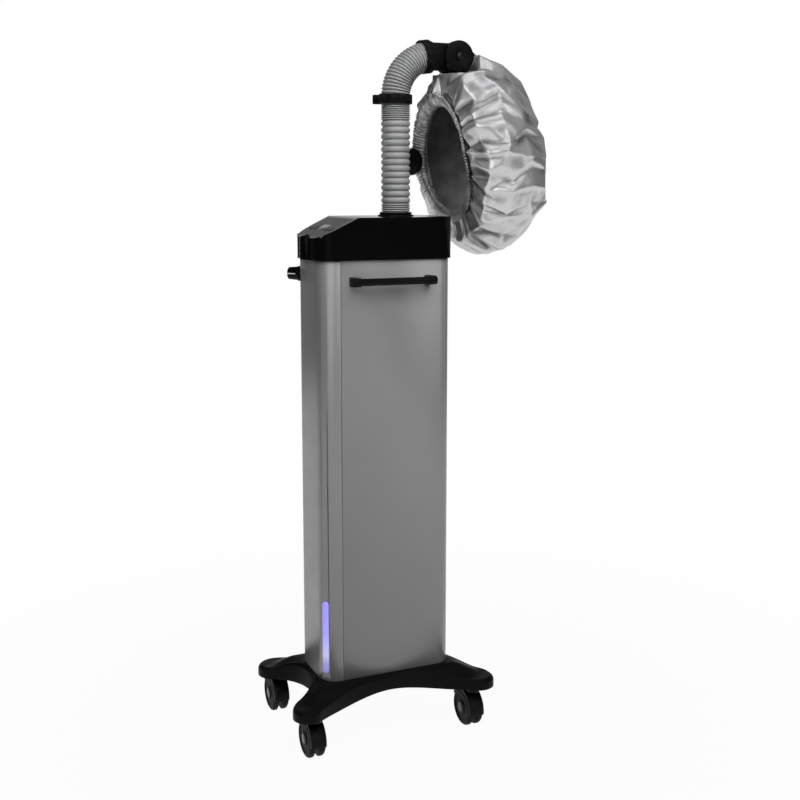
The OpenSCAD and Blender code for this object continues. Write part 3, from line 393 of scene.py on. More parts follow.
# Casters
# Twin nylon wheels with a dished face and a domed hub cap on a steel axle, under a moulded
# hood. The yoke's stem turns in the arm's socket and each caster trails behind its stem.
caster_black = finish("caster_black", (0.003, 0.003, 0.0033), 0.34, patch=20, vary=0.2, grain=900, depth=2e-5,
                      Specular_IOR_Level=0.10)
tread_black = finish("tread_black", (0.007, 0.007, 0.0072), 0.55, patch=40, vary=0.3, grain=1500, depth=5e-5,
                     Specular_IOR_Level=0.10)
hub_metal = finish("hub_metal", (0.035, 0.035, 0.037), 0.28, 0.9, patch=60, vary=0.12, grain=1800, depth=6e-6)
for k in ("fr", "fl", "rr", "rl"):
    axle = joint["wheel_roll_" + k]
    front = np.sign(joint["caster_swivel_" + k][0] - axle[0])
    wheel_r = axle[2]
    # Profiles of one wheel, its cap and the axle: radius in metres, distance from the middle in mm
    wheel = [(0.012, 5.6), (0.0335, 5.5), (wheel_r - 0.0014, 5.75), (wheel_r - 0.0003, 6.5), (wheel_r, 7.5),
             (wheel_r - 0.0004, 8.7), (wheel_r - 0.0002, 9.6), (wheel_r, 10.9), (wheel_r - 0.0005, 13.0),
             (wheel_r - 0.002, 15.0), (wheel_r - 0.0045, 16.5), (wheel_r - 0.0075, 17.2),
             (wheel_r - 0.0090, 17.3), (wheel_r - 0.0100, 16.9), (wheel_r - 0.0110, 15.7), (0.0215, 15.2),
             (0.0165, 15.3), (0.0145, 16.0), (0.0135, 17.2), (0.0125, 17.5), (0.0, 17.5)]
    cap = [(0.0098, 17.4), (0.0096, 17.9), (0.0088, 18.3), (0.006, 18.6), (0.0, 18.7)]
    rod = [(0.0, -17), (0.004, -17), (0.004, 17), (0.0, 17)]
    tyre, caps = [], []
    for s in (-1, 1):
        tyre.append(turned([(r, s * h / 1000) for r, h in wheel], 96, axle, "y"))
        caps.append(turned([(r, s * h / 1000) for r, h in cap], 48, axle, "y"))
    caps.append(turned([(r, h / 1000) for r, h in rod], 32, axle, "y"))
    wheels = make("wheels_%s_pair" % k, *stacked(*tyre), tread_black, "wheels_" + k, outward=True)
    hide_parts("caster_wheels_" + k)
    hub = make("wheels_%s_hubs" % k, *stacked(*caps), hub_metal, "wheels_" + k, outward=True)

    # Hood: an arc over both wheels, whose cross-section is a flat top with round shoulders
    round_it, over_it = 49, 33
    hood_r, hood_half_w, hood_t = 0.0405, 0.0140, 0.0022
    a = np.radians(np.linspace(-6, 152, round_it))[:, None]
    w = np.linspace(-1, 1, over_it)[None, :]
    out_by = hood_r - 0.004 * np.abs(w) ** 5 - 0.0025 * smooth((np.abs(w) - 0.9) / 0.1)
    out_by = out_by + 0.0012 * (1 - w * w)
    hx = front * out_by * np.cos(a)
    hy = hood_half_w * np.sin(np.pi / 2 * w) + 0 * a
    hz = out_by * np.sin(a)
    hood_points = np.stack([hx + axle[0], hy + axle[1], hz + axle[2]], -1).reshape(-1, 3)
    hood = make("hood_" + k, hood_points, weave(round_it, over_it, False), caster_black, "yoke_" + k,
                sharp=50)
    top_cell = round_it // 2 * (over_it - 1) + over_it // 2
    if hood.data.polygons[top_cell].normal.z < 0:
        hood.data.flip_normals()
    thick = hood.modifiers.new("wall", "SOLIDIFY")
    thick.thickness = hood_t
    thick.offset = 1
    dress("caster_yoke_" + k, caster_black, 0.0006)

# Floor plate and chassis
# Zinc-plated folded steel: a plate that carries the tank's runners, and a welded frame of
# four square posts with three shelves.
zinc = finish("zinc_plate", (0.50, 0.51, 0.50), 0.38, 1.0, patch=45, vary=0.12, grain=600, depth=1e-5)
for node in ("floor_plate", "chassis"):
    dress(node, zinc, 0.0004)

# Column skins
# The front shell, the two side panels, the rear panel and the drawer front are moulded and
# sprayed satin grey with a fine metal flake. Black pan-head screws hold the rear panel.
satin_grey = finish("satin_grey", (0.235, 0.236, 0.238), 0.33, 0.36, patch=5, vary=0.03, grain=2600,
                    depth=8e-6)
for node in ("front_shell", "side_panel_right", "side_panel_left", "tank_front"):
    dress(node, satin_grey, 0.0006)
dress("rear_panel", satin_grey, 0)
dress("panel_screws", finish("screw_black", (0.04, 0.04, 0.042), 0.35, 0.8, patch=60, vary=0.2, grain=1500,
                             depth=1e-5), 0.0006)

# Handles
# A round bar with a sleeve at each end, moulded in satin black nylon on two blocks that are
# screwed through the side panel.
satin_black = finish("satin_black", (0.003, 0.003, 0.0033), 0.33, patch=16, vary=0.2, grain=1100,
                     depth=1.4e-5, Specular_IOR_Level=0.08)
for node in ("handle_right", "handle_left"):
    dress(node, satin_black, 0.0012)

# Level strip
# A diffuser of milky plastic let into the front corner, rounded at both ends, lit violet from
# the board behind it, brightest about a third of the way up.
low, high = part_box("level_lens")
lit_violet = bpy.data.materials.new("lit_violet")
lit_violet.use_nodes = True
t = lit_violet.node_tree
skin = t.nodes["Principled BSDF"]
skin.inputs["Roughness"].default_value = 0.3
place = joined(t, "ShaderNodeTexCoord", out="Object")
height = joined(t, "ShaderNodeMapRange", joined(t, "ShaderNodeSeparateXYZ", place, out="Z"), low[2], high[2])
ramp = t.nodes.new("ShaderNodeValToRGB")
# Its colours from the foot up, as shares of its height
violets = ((0.0, (0.22, 0.21, 0.50)), (0.12, (0.26, 0.25, 0.56)), (0.26, (0.46, 0.46, 0.72)),
           (0.36, (0.42, 0.41, 0.80)), (0.55, (0.34, 0.31, 0.82)), (1.0, (0.30, 0.27, 0.78)))
stops = ramp.color_ramp.elements
for at, colour in violets:
    stop = stops[0] if at == 0 else stops[-1] if at == 1 else stops.new(at)
    stop.color = (*colour, 1)
t.links.new(height, ramp.inputs["Fac"])
t.links.new(ramp.outputs["Color"], skin.inputs["Base Color"])
t.links.new(ramp.outputs["Color"], skin.inputs["Emission Color"])
skin.inputs["Emission Strength"].default_value = 0.55
dress("level_lens", lit_violet, 0.0022)
board_green = finish("board_green", (0.02, 0.13, 0.05), 0.4, patch=160, vary=0.35, grain=2200, depth=3e-5)
dress("light_board", board_green, 0.0002)

# Mains inlet and switch
# A moulded three-pin inlet and a red rocker in a black frame, both snapped into cut-outs of the
# rear panel above the tank's drawer. The inlet's pins are brass.
for node in ("power_inlet", "switch_frame"):
    dress(node, satin_black, 0.0008)
dress("rocker_switch", finish("rocker_red", (0.30, 0.02, 0.015), 0.25, patch=80, vary=0.1, grain=1800,
                              depth=8e-6), 0.0008)
low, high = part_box("power_inlet")
well_floor, inlet_z = low[1] + 0.006, (low[2] + high[2]) / 2
pin_profile = [(0, 0), (0.0019, 0), (0.0019, 0.013), (0.0012, 0.0145), (0, 0.0148)]
pin_places = ((-0.007, -0.002), (0.007, -0.002), (0, 0.003))
pins = [turned(pin_profile, 24, (x, well_floor, inlet_z + z), "y") for x, z in pin_places]
pin_brass = finish("pin_brass", (0.55, 0.46, 0.28), 0.25, 1.0, patch=80)
pin = make("inlet_pins", *stacked(*pins), pin_brass, "stand", outward=True)

# Water tank
# A blown tank of milky plastic that slides on the floor plate's runners, with a blue bayonet
# cap. Its drawer front is one of the column's skins.
dress("water_tank", finish("milky_tank", (0.62, 0.70, 0.74), 0.42, patch=14, vary=0.06, grain=300, depth=5e-5,
                           Transmission_Weight=0.35), 0.004)
dress("tank_cap", finish("cap_blue", (0.04, 0.11, 0.34), 0.35, patch=30, vary=0.1, grain=1200, depth=2e-5),
      0.0008)

# Steam and air works
# Pump, boiler with its coil, duct, blower and boards, each screwed to a shelf of the chassis.
# The boiler is spun steel, the duct and impeller cream mouldings, the feed tube clear silicone.
moulded_grey = finish("moulded_grey", (0.10, 0.105, 0.11), 0.5, patch=20, vary=0.15, grain=800, depth=4e-5)
spun_steel = finish("spun_steel", (0.60, 0.61, 0.62), 0.24, 1.0, patch=20, vary=0.06, grain=400, depth=1e-5,
                    stretch=(1, 1, 8))
for node in ("pump", "blower_housing", "blower_motor"):
    dress(node, moulded_grey, 0.001)
for node in ("boiler_body", "boiler_lid"):
    dress(node, spun_steel, 0.0006)
dress("steam_duct", finish("duct_cream", (0.62, 0.61, 0.58), 0.5, patch=18, vary=0.08, grain=700, depth=3e-5),
      0.0006)
dress("heating_element", finish("element_oxide", (0.20, 0.15, 0.12), 0.45, 0.7, patch=70, vary=0.4, grain=900,
                                depth=3e-5), 0.0003)
dress("feed_tube", finish("silicone", (0.66, 0.68, 0.68), 0.4, patch=40, vary=0.05,
                          Transmission_Weight=0.4), 0)
dress("impeller", finish("impeller_cream", (0.70, 0.70, 0.66), 0.45, patch=50, vary=0.06), 0.0002)
for node in ("power_board", "control_board"):
    dress(node, board_green, 0.0003)

# Control head
# A deep cap moulded in gloss black, closed on top, that drops over the column. Its front
# slopes and carries a matt panel with a display window and four keys.
dress("head_shell", finish("gloss_black", (0.0018, 0.0018, 0.002), 0.18, patch=6, vary=0.2, grain=90,
                           depth=8e-6, Specular_IOR_Level=0.09), 0)
dress("control_panel", finish("panel_matt", (0.042, 0.042, 0.044), 0.52, patch=25, vary=0.08, grain=1800,
                              depth=1.5e-5), 0)
dress("display_window", finish("smoked_window", (0.008, 0.010, 0.013), 0.08, patch=20, vary=0.1, grain=60,
                               depth=2e-6), 0.0005)
key_soft = finish("key_soft", (0.028, 0.028, 0.030), 0.42, patch=60, vary=0.12, grain=1900, depth=1.5e-5)
for k in ("power", "less", "more", "light"):
    dress("key_" + k, key_soft, 0.0007)

# Steam knob
# A tapered black knob on the brass valve's stem at the far front corner, with a white
# pointer line let into its side and its face.
dress("flow_valve", finish("valve_brass", (0.58, 0.44, 0.20), 0.3, 1.0, patch=60, vary=0.1), 0.0005)
dress("flow_knob", satin_black, 0.0012)
knob = joint["flow_knob_turn"]
knob_out, knob_side = np.array([-1, -1, 0]) / math.sqrt(2), np.array([1, -1, 0]) / math.sqrt(2)


def inlay(start, end, deep, tall):
    """Corners of a bar in the knob: from start to end along its axis, and from deep to tall off it."""
    half_w = 0.0011
    return [knob + knob_out * z + knob_side * r + [0, 0, w]
            for z, i in ((start, 0), (end, 1)) for r in (deep[i], tall[i]) for w in (-half_w, half_w)]


bar_faces = [(0, 1, 3, 2), (4, 6, 7, 5), (0, 4, 5, 1), (2, 3, 7, 6), (0, 2, 6, 4), (1, 5, 7, 3)]
on_side = inlay(0.008, 0.0268, (0.0120, 0.0105), (0.0137, 0.0123))
on_face = inlay(0.0218, 0.0272, (-0.0024, -0.0024), (0.0118, 0.0118))
pointer_white = finish("pointer_white", (0.80, 0.80, 0.79), 0.4, patch=60, vary=0.05)
make("knob_pointer", *stacked((on_side, bar_faces), (on_face, bar_faces)), pointer_white, "flow_knob",
     outward=True)

# Hose socket and root
# Black mouldings: a flanged socket stands in the top of the head, and the hose's root is a
# sleeve that turns in it with the whole arm.
for node in ("hose_socket", "hose_root"):
    dress(node, satin_black, 0.001)

# Steam hose
# A grey blow-moulded hose that keeps its bend: ribs drawn out on the straight, pushed
# together at the foot and round the bend. It is one tube from the root to the cuff.
pivot = joint["bonnet_tilt"]
hose_r, bore_r, rib_deep, hose_sides = 0.0285, 0.023, 0.0034, 72
bend_r, bend_angle = 0.080, math.radians(82)
hub_reach = 0.060
hose_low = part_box("hose")[0][2]
bend_z = pivot[2] - hub_reach * (1 - math.sin(bend_angle)) - bend_r * math.sin(bend_angle)
straight = bend_z - hose_low
length = straight + bend_r * bend_angle

# Pitch in mm and count of the ribs, from the foot up, stretched together to fill the length
runs = [(4, 4), (12.6, 13), (4.2, 12), (5.6, 20)]
starts = [np.arange(n) * p + sum(a * b for a, b in runs[:k]) for k, (p, n) in enumerate(runs)]
total = sum(a * b for a, b in runs)
plain_end = 0.001
ribs = plain_end + (length - 2 * plain_end) * np.append(np.concatenate(starts), total) / total


def rib_radius(s):
    """Radius along the hose: each rib is a rounded crest with a narrower groove between two."""
    k = np.clip(np.searchsorted(ribs, s, side="right") - 1, 0, len(ribs) - 2)
    t = (s - ribs[k]) / (ribs[k + 1] - ribs[k])
    return hose_r - rib_deep * (1 - np.abs(np.sin(np.pi * t)) ** 0.7)


def hose_frame(s):
    """Middle of the hose and its way up and out at a length along it: straight, then an arc."""
    a = np.maximum(0, (s - straight) / bend_r)
    rise = np.where(a > 0, bend_z + bend_r * np.sin(a), hose_low + s)
    middle = np.stack([0 * s, hose_foot[1] + bend_r * (1 - np.cos(a)), rise], -1)
    out = np.stack([0 * s, np.cos(a), -np.sin(a)], -1)
    return middle, out


def hose_skin(radius, s, sides):
    """A ring of points round the hose at each length."""
    middle, out = hose_frame(s)
    a = np.linspace(0, 2 * np.pi, sides + 1)[:-1]
    ring = np.cos(a)[None, :, None] * np.array([1, 0, 0]) + np.sin(a)[None, :, None] * out[:, None, :]
    return middle[:, None, :] + radius[:, None, None] * ring


# Outside up the hose with 8 rings to a rib, then back down the bore
rib_rings, bore_rings = 8, 12
along_ribs = [np.linspace(ribs[k], ribs[k + 1], rib_rings) for k in range(len(ribs) - 1)]
s = np.unique(np.concatenate(along_ribs + [[0, length]]))
outer = hose_skin(rib_radius(s), s, hose_sides)
inner = hose_skin(np.full(bore_rings, bore_r), np.linspace(length, 0, bore_rings), hose_sides)
rings = np.concatenate([outer, inner])
hose_grey = finish("hose_grey", (0.205, 0.207, 0.21), 0.36, patch=30, vary=0.08, grain=900, depth=3e-5)
hose = make("steam_hose", rings.reshape(-1, 3), weave(len(rings), hose_sides, True, True), hose_grey, "arm",
            sharp=70, outward=True)
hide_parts("hose")

# Clip, cuff, elbow, bolt, yoke and plug
# Black mouldings: an open clip with two ears below the bend, a cuff over the hose's end, an
# elbow to the hub, the yoke that hangs there by a steel bolt and carries the bonnet on its
# collar, and a round plug in the far side of the bonnet's lip.
for node in ("hose_clip", "hose_cuff", "elbow", "bonnet_yoke"):
    dress(node, satin_black, 0.001)
dress("pivot_bolt", hub_metal, 0.0006)
dress("bonnet_plug", satin_black, 0.0012)

# Bonnet
# A bag of padded cloth with a metallised face and a dark grey lining, cut flat, gathered into
# an elastic rim in front and tied to the yoke's collar. Steam puffs it out and it creases.
half_w, half_h, bag_depth = 0.175, 0.206, 0.200
mean_half = 0.19
crown_rise = 0.013
bonnet_z = pivot[2] + crown_rise - half_h
rim_y = hose_foot[1] + 0.114
# Stations from the opening round to the back: a share of the half size and a share of the depth
stations = np.array([[0.585, 0], [0.62, -0.07], [0.70, -0.11], [0.8, -0.09], [0.9, -0.01], [0.97, 0.11],
                     [1, 0.24], [0.99, 0.36], [0.96, 0.486], [0.895, 0.614], [0.775, 0.743], [0.55, 0.848],
                     [0.27, 0.899], [0.0, 0.91]])
last, widest = len(stations) - 1, 6


def between(table, at):
    """Smooth curve through a table of points, at places counted in points from its start.

    It is the cubic whose slope at each point is half the step between that point's neighbours.
    """
    n = len(table)
    padded = np.vstack([2 * table[0] - table[1], table, 2 * table[-1] - table[-2]])
    k = np.clip(np.floor(at).astype(int), 0, n - 2)
    t = (at - k)[..., None]
    p0, p1, p2, p3 = (padded[k + i] for i in range(4))
    return 0.5 * (2 * p1 + (p2 - p0) * t + (2 * p0 - 5 * p1 + 4 * p2 - p3) * t ** 2
                  + (3 * p1 - p0 - 3 * p2 + p3) * t ** 3)


def bag(share, deep, turn, front):
    """Places a share of the half size and a depth at an angle round the bag.

    The bag narrows upward, its opening sits low, and the whole of it leans back below.
    """
    to_rim, turn_back, lean = 0.44, 0.24, 0.020
    opened = front * np.clip((1 - share) / to_rim, 0, None)
    up = half_h * share * np.cos(turn) * (1 - 0.13 * opened) - 0.006 * opened
    up = np.where(up < 0, up * (1 - 0.035 * (1 - opened)), up)
    high = up / half_h
    narrow = 1 - 0.12 * high
    mid = turn_back * bag_depth
    back = 1 - 0.05 * np.minimum(high, 0) + 0.07 * np.maximum(high, 0)
    front_y = deep * (1 + 1.4 * np.minimum(0, high))
    y = np.where(deep > mid, mid + (deep - mid) * back, np.where(deep < 0, front_y, deep))
    return np.stack([half_w * share * np.sin(turn) * narrow, rim_y + y - lean * high, bonnet_z + up], -1)


def bag_skin(at, turn, out):
    """Points on the bag at places along the stations and angles round it, stood off the skin by out.

    The way out is the profile's slope, from two points a hair apart, turned by a right angle.
    """
    at, turn, out = np.broadcast_arrays(at, turn, out)
    hair = 0.01
    profile = between(stations, at) * [1, bag_depth]
    slope = (between(stations, at + hair) - between(stations, at - hair)) * [mean_half, bag_depth]
    way = np.stack([slope[..., 1], -slope[..., 0]], -1) / np.linalg.norm(slope, axis=-1)[..., None]
    share = profile[..., 0] + out * way[..., 0] / mean_half
    return bag(share, profile[..., 1] + out * way[..., 1], turn, at < widest)


def normals(grid):
    """Unit normals of a grid that is closed round its columns: the cross product of its two slopes."""
    along = np.gradient(grid, axis=0)
    across = (np.roll(grid, -1, 1) - np.roll(grid, 1, 1)) / 2
    n = np.cross(across, along)
    return n / np.maximum(np.linalg.norm(n, axis=2), 1e-12)[..., None]


def eased(grid, times):
    """Each inner point moves to the mean of its four neighbours, a number of times."""
    for _ in range(times):
        mean = (np.roll(grid, -1, 1) + np.roll(grid, 1, 1)) / 4
        mean[1:-1] += (grid[2:] + grid[:-2]) / 4
        grid = np.concatenate([grid[:1], mean[1:-1], grid[-1:]])
    return grid


def creased(nodes, up, over, leaning):
    """Fills a coarse grid, closed round its columns, with flat triangles and sharp creases.

    Each cell is cut along one diagonal, the other one where leaning is true, and a point is
    P00 + u (P10 - P00) + v (P11 - P10) or the like, linear in each of the two triangles.
    """
    rows, cols = nodes.shape[0] - 1, nodes.shape[1]
    row = np.arange(rows * up + 1)
    i = np.minimum(row // up, rows - 1)[:, None]
    u = (row[:, None] - i * up)[..., None] / up
    col = np.arange(cols * over)
    j = (col // over)[None, :]
    v = (col[None, :] - j * over)[..., None] / over
    p00, p10, p01, p11 = nodes[i, j], nodes[i + 1, j], nodes[i, (j + 1) % cols], nodes[i + 1, (j + 1) % cols]
    one = np.where(u >= v, p00 + u * (p10 - p00) + v * (p11 - p10), p00 + v * (p01 - p00) + u * (p11 - p01))
    two = np.where(u + v <= 1, p00 + u * (p10 - p00) + v * (p01 - p00),
                   p11 + (1 - u) * (p01 - p11) + (1 - v) * (p10 - p11))
    return np.where(leaning[i, j][..., None], two, one)


def stand_clear(points, a, b, radius):
    """Moves the points nearer than radius to the line from a to b straight out from it."""
    a, b = np.asarray(a), np.asarray(b)
    t = np.clip(((points - a) @ (b - a)) / ((b - a) @ (b - a)), 0, 1)
    off = points - (a + t[..., None] * (b - a))
    far = np.linalg.norm(off, axis=-1)
    return points + off / np.maximum(far, 1e-6)[..., None] * np.maximum(0, radius - far)[..., None]


# Large folds: rows of nodes set at places along the stations, shaken about and filled with facets
rng = np.random.default_rng(11)
fold_at = np.array([0, 1.6, 3.8, 6.0, 8.0, 9.8, 11.3, 12.3, last])
folds, finer_over, finer_up = 36, 12, 16
fold_turn = np.arange(folds) / folds * 2 * np.pi
from_rim = smooth(fold_at / 1.5)[:, None]
from_ends = from_rim * smooth((last - fold_at) / 2.5)[:, None]
shape = (len(fold_at), folds)
node_at = fold_at[:, None] + from_ends * rng.uniform(-0.45, 0.45, shape)
node_turn = fold_turn[None, :] + from_rim * rng.uniform(-0.42, 0.42, shape) * 2 * np.pi / folds
strong = np.interp(fold_at, [0, 1.6, 3.8, 8.0, 9.8, 11.3, last], [0, 0.006, 0.010, 0.010, 0.006, 0.005, 0])
nodes = bag_skin(node_at, node_turn, strong[:, None] * rng.uniform(-1, 0.75, shape) - 0.002)
big = creased(nodes, finer_up, finer_over, rng.random(shape) > 0.5)
rows, sides = big.shape[:2]
at = np.interp(np.arange(rows) / finer_up, np.arange(len(fold_at)), fold_at)
turn = np.arange(sides) / sides * 2 * np.pi


def pleats(count):
    """Uneven zigzag round the bag: down and up again between places that are spread at random."""
    steps = np.cumsum(rng.uniform(0.5, 1.5, count))
    phase = np.interp(turn, 2 * np.pi * np.append(0, steps) / steps[-1], np.arange(count + 1))
    tall = np.interp(phase, np.arange(count + 1), np.resize(rng.uniform(0.35, 1, count), count + 1))
    return (np.abs(2 * (phase % 1) - 1) - 0.5) * tall


# Small facets in patches, close pleats at the rim and wide ones over the front and the side
cell, wide, patch_wide = 8, 6, 12
small = rng.uniform(-1, 1, ((rows - 1) // cell + 1, sides // wide, 1))
small = creased(small, cell, wide, rng.random(small.shape[:2]) > 0.5)[..., 0]
patchy = eased(rng.normal(0, 1, ((rows - 1) // cell + 1, sides // patch_wide, 1)), 2)
patchy = creased(patchy, cell, patch_wide, np.zeros(patchy.shape[:2], bool))[..., 0]
patchy = np.clip(0.55 + 1.2 * patchy / np.abs(patchy).max(), 0.2, 1)
by_rim = 0.0060 * np.exp(-at / 1.5) * smooth(at / 0.5)
by_side = 0.0085 * smooth(at / 2.0) * smooth((11.5 - at) / 7.0)
by_facet = 0.0028 * smooth(at / 1.0) * (0.45 + 0.55 * smooth((10 - at) / 3)) * smooth((last - at) / 2)
gathered = (by_rim[:, None] * pleats(58)[None, :] + by_side[:, None] * pleats(27)[None, :]
            + by_facet[:, None] * small * patchy)
big = big + normals(big) * gathered[..., None]

# Cloth: tied at the rim, shrunk and puffed out by steam, its shift held under most
base = big[::2, ::2]
levels, sides = base.shape[:2]
pole = (levels - 1) * sides
cap = [[pole - sides + i, pole - sides + (i + 1) % sides, pole] for i in range(sides)]
cloth_mesh = bpy.data.meshes.new("cloth")
cloth_mesh.from_pydata([*base[:-1].reshape(-1, 3).tolist(), base[-1, 0].tolist()], [],
                       [*weave(levels - 1, sides).tolist(), *cap])
cloth = bpy.data.objects.new("cloth", cloth_mesh)
bpy.context.scene.collection.objects.link(cloth)
tied = cloth.vertex_groups.new(name="tied")
tied.add(list(range(2 * sides)), 1.0, "REPLACE")
tied.add(list(range(2 * sides, 4 * sides)), 0.25, "REPLACE")
sim = cloth.modifiers.new("cloth", "CLOTH")
sim.settings.vertex_group_mass = "tied"
sim.settings.quality = 5
sim.settings.mass = 0.12
sim.settings.tension_stiffness = sim.settings.compression_stiffness = 30
sim.settings.shear_stiffness = 12
sim.settings.bending_stiffness = 6
sim.settings.air_damping = 3
sim.settings.use_pressure = True
sim.settings.uniform_pressure_force = 3.0
sim.settings.shrink_min = sim.settings.shrink_max = -0.11
sim.settings.effector_weights.gravity = 0
sim.collision_settings.use_collision = False
sim.collision_settings.use_self_collision = False
settled = 22
sim.point_cache.frame_start, sim.point_cache.frame_end = 1, settled
for step in range(1, settled + 1):
    bpy.context.scene.frame_set(step)
puffed = cloth.evaluated_get(bpy.context.evaluated_depsgraph_get()).to_mesh()
found = np.empty(3 * len(puffed.vertices))
puffed.vertices.foreach_get("co", found)
found = found.reshape(-1, 3)
bpy.context.scene.frame_set(1)
bpy.data.objects.remove(cloth)
back_row = np.repeat(found[-1:], sides, 0)[None]
shift = np.concatenate([found[:-1].reshape(levels - 1, sides, 3), back_row]) - base
far = np.linalg.norm(shift, axis=2, keepdims=True)
most = 0.004
shift = shift * (most * np.tanh(far / most) / np.maximum(far, 1e-9))
big = big + creased(shift, 2, 2, np.zeros(shift.shape[:2], bool))

collar_turn = math.radians(125)
collar_way = np.array([0, math.sin(collar_turn), math.cos(collar_turn)])


def clear_of_arm(points, more):
    """Keeps the cloth under the elbow, behind and under the hub, and round the collar.

    The ceiling is level under the elbow, follows the hub's lower half and rises behind it.
    """
    hub_r, hub_half, elbow_long, collar_long = 0.034, 0.020, 0.110, 0.056
    back = points[..., 1] - pivot[1]
    under = -np.sqrt(np.clip(hub_r ** 2 - np.clip(back, 0, None) ** 2, 0, None))
    rise = 0.022 * smooth((back - 0.016) / 0.018)
    ceiling = pivot[2] + np.where(back < hub_r, under, 0) + rise - more
    aside = points[..., 0]
    near = smooth((0.150 - aside) / 0.05) * smooth((aside + 0.062) / 0.025)
    over = np.maximum(0, points[..., 2] - ceiling) * near
    points = points - over[..., None] * [0, 0, 1]
    points = stand_clear(points, pivot + [0, -elbow_long, 0], pivot, 0.0305 + more)
    points = stand_clear(points, pivot - [hub_half, 0, 0], pivot + [hub_half, 0, 0], 0.0325 + more)
    return stand_clear(points, pivot, pivot + collar_long * collar_way, 0.0335 + more)


# The face, and inside it the lining, a smoother and coarser copy that stands in by thickness
face = clear_of_arm(eased(big, 1), 0)
face[-1] = face[-2].mean(0)
lumps = rng.normal(0, 1, face.shape[:2])
lumps = (lumps + np.roll(lumps, 1, 1) + 0.6 * np.roll(lumps, 1, 0)) / 2
face = face + normals(face) * (0.0010 * lumps * np.exp(-at / 0.9)[:, None])[..., None]
thickness, lining_gap = 0.009, 0.005
smooth_face = eased(face[::4, ::2], 8)
inward = clear_of_arm(smooth_face - thickness * normals(smooth_face), lining_gap)
inward[-1] = inward[-2].mean(0)
inner = np.repeat(inward, 2, 1)
inner[:, 1::2] = (inward + np.roll(inward, -1, 1)) / 2
grid = np.concatenate([face[::-1], inner])

# How deep each point lies under the mean of its neighbours: painted shade, which the material lays as
# darkening in the creases
bend = eased(face, 3) - face
full_shade_depth = 0.0010
crease = np.clip((bend * normals(face)).sum(2) / full_shade_depth, -1, 1)
crease = np.concatenate([crease[::-1], 0 * inner[..., 0]])


def foil_finish(name, dark, light, rough, creases):
    """Metallised cloth: bright, with painted shade darkening its creases, and flat facets and fine wrinkles
    raised on it.
    """
    m = bpy.data.materials.new(name)
    m.use_nodes = True
    t = m.node_tree
    skin = t.nodes["Principled BSDF"]
    skin.inputs["Metallic"].default_value = 0.82
    place = joined(t, "ShaderNodeTexCoord", out="Object")
    bent = t.nodes.new("ShaderNodeTexNoise")
    bent.inputs["Scale"].default_value = 22
    bent.inputs["Detail"].default_value = 3
    t.links.new(place, bent.inputs["Vector"])
    warped = joined(t, "ShaderNodeVectorMath", bent.outputs["Color"], (0.03, 0.03, 0.03), place,
                    op="MULTIPLY_ADD")
    fine = joined(t, "ShaderNodeTexNoise", Vector=place, Scale=240, Detail=4)

    def facets(scale, squeeze):
        drawn = joined(t, "ShaderNodeMapping", warped, Scale=squeeze)
        return joined(t, "ShaderNodeTexVoronoi", Vector=drawn, Scale=scale, out="Distance")

    folded = joined(t, "ShaderNodeBump", Height=facets(creases, (1, 1, 0.6)), Distance=0.05 / creases)
    folded = joined(t, "ShaderNodeBump", Height=facets(creases * 2.6, (1, 1, 0.8)),
                    Distance=0.02 / (creases * 2.6), Normal=folded)
    folded = joined(t, "ShaderNodeBump", Height=fine, Distance=0.00005, Normal=folded)
    t.links.new(folded, skin.inputs["Normal"])
    tone = t.nodes.new("ShaderNodeValToRGB")
    stops = tone.color_ramp.elements
    stops[0].position, stops[0].color = 0.12, (*dark, 1)
    stops[1].position, stops[1].color = 0.55, (*light, 1)
    # Painted shade: the per-point crease attribute darkens the colour in the creases, on top of random noise
    # in the tone
    painted_shade_attr = t.nodes.new("ShaderNodeAttribute")
    painted_shade_attr.attribute_name = "crease"
    share = joined(t, "ShaderNodeMath", painted_shade_attr.outputs["Fac"], -0.42, bent.outputs[0], op="MULTIPLY_ADD")
    t.links.new(share, tone.inputs["Fac"])
    t.links.new(tone.outputs["Color"], skin.inputs["Base Color"])
    gloss = joined(t, "ShaderNodeMapRange", fine, 0.0, 1.0, rough * 0.96, rough * 1.25)
    t.links.new(gloss, skin.inputs["Roughness"])
    return m


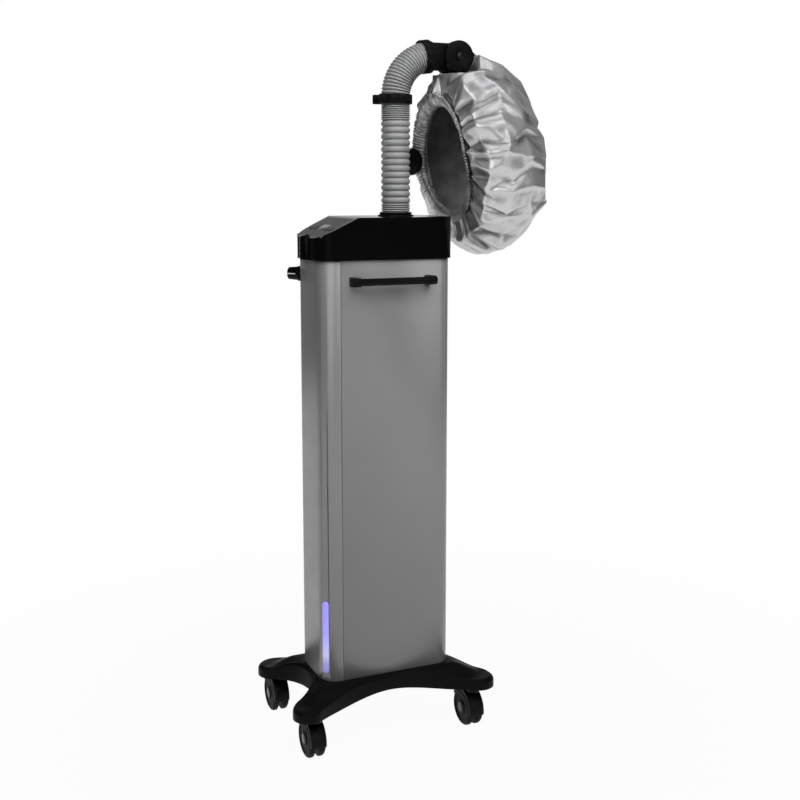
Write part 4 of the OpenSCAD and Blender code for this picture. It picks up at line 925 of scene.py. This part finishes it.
foil = foil_finish("foil", (0.15, 0.152, 0.156), (0.60, 0.603, 0.61), 0.30, 17)
lining = finish("lining", (0.32, 0.32, 0.325), 0.6, patch=30, vary=0.3, grain=500, depth=3e-4,
                Specular_IOR_Level=0.2, Sheen_Weight=0.2)
bonnet = make("foil_bag", grid.reshape(-1, 3), weave(len(grid), grid.shape[1]), [foil, lining], "bonnet",
              sharp=180, merge=5e-5, outward=True, crease=crease.ravel(),
              second=(len(face) - 1) * grid.shape[1])
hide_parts("bonnet")

# Elastic band
# A flat elastic in a hem of the same foil, sewn to the bonnet's rim and shirred into close,
# uneven pleats. It lies on the bag's skin and goes right round the opening.
around, across, pleat_count = 1008, 18, 126
a = np.linspace(0, 2 * np.pi, around + 1)[:-1]
b = np.linspace(0, 2 * np.pi, across + 1)[:-1]
shirring = np.cumsum(rng.uniform(0.6, 1.4, pleat_count))
pleat_at = 2 * np.pi * np.append(0, shirring) / shirring[-1]
phase = np.interp(a, pleat_at, np.arange(pleat_count + 1)) * 2 * np.pi
tall = 0.7 + 0.3 * np.interp(a, np.linspace(0, 2 * np.pi, 60), rng.uniform(-1, 1, 60))
wave = (np.abs(np.sin(phase / 2)) - 0.4) * tall
lumps = rng.normal(0, 1, (across, around))
lumps = (lumps + np.roll(lumps, 1, 1) + np.roll(lumps, 1, 0)) / 2
reach = 0.85 * (1 + 0.16 * wave[None, :] + 0.05 * lumps)
thick = 0.0030 + 0.0028 * wave[None, :] * (0.6 + 0.4 * np.cos(3 * b + 1)[:, None]) + 0.0006 * lumps
band_grid = bag_skin(reach * (1 - np.cos(b)[:, None]), a[None, :], 0.0022 + thick * np.sin(b)[:, None])
# Painted shade: the colour is darker in the hollows between the pleats
pleat_shade = np.clip(0.5 - 1.3 * wave, -1, 1)[None, :] + 0 * b[:, None]
shirred = foil_finish("shirred_foil", (0.14, 0.142, 0.146), (0.62, 0.623, 0.63), 0.3, 90)
band = make("rim_band", band_grid.reshape(-1, 3), weave(across, around, True, True), shirred, "bonnet",
            sharp=180, merge=1e-7, outward=True, crease=pleat_shade.ravel())
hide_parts("bonnet_band")
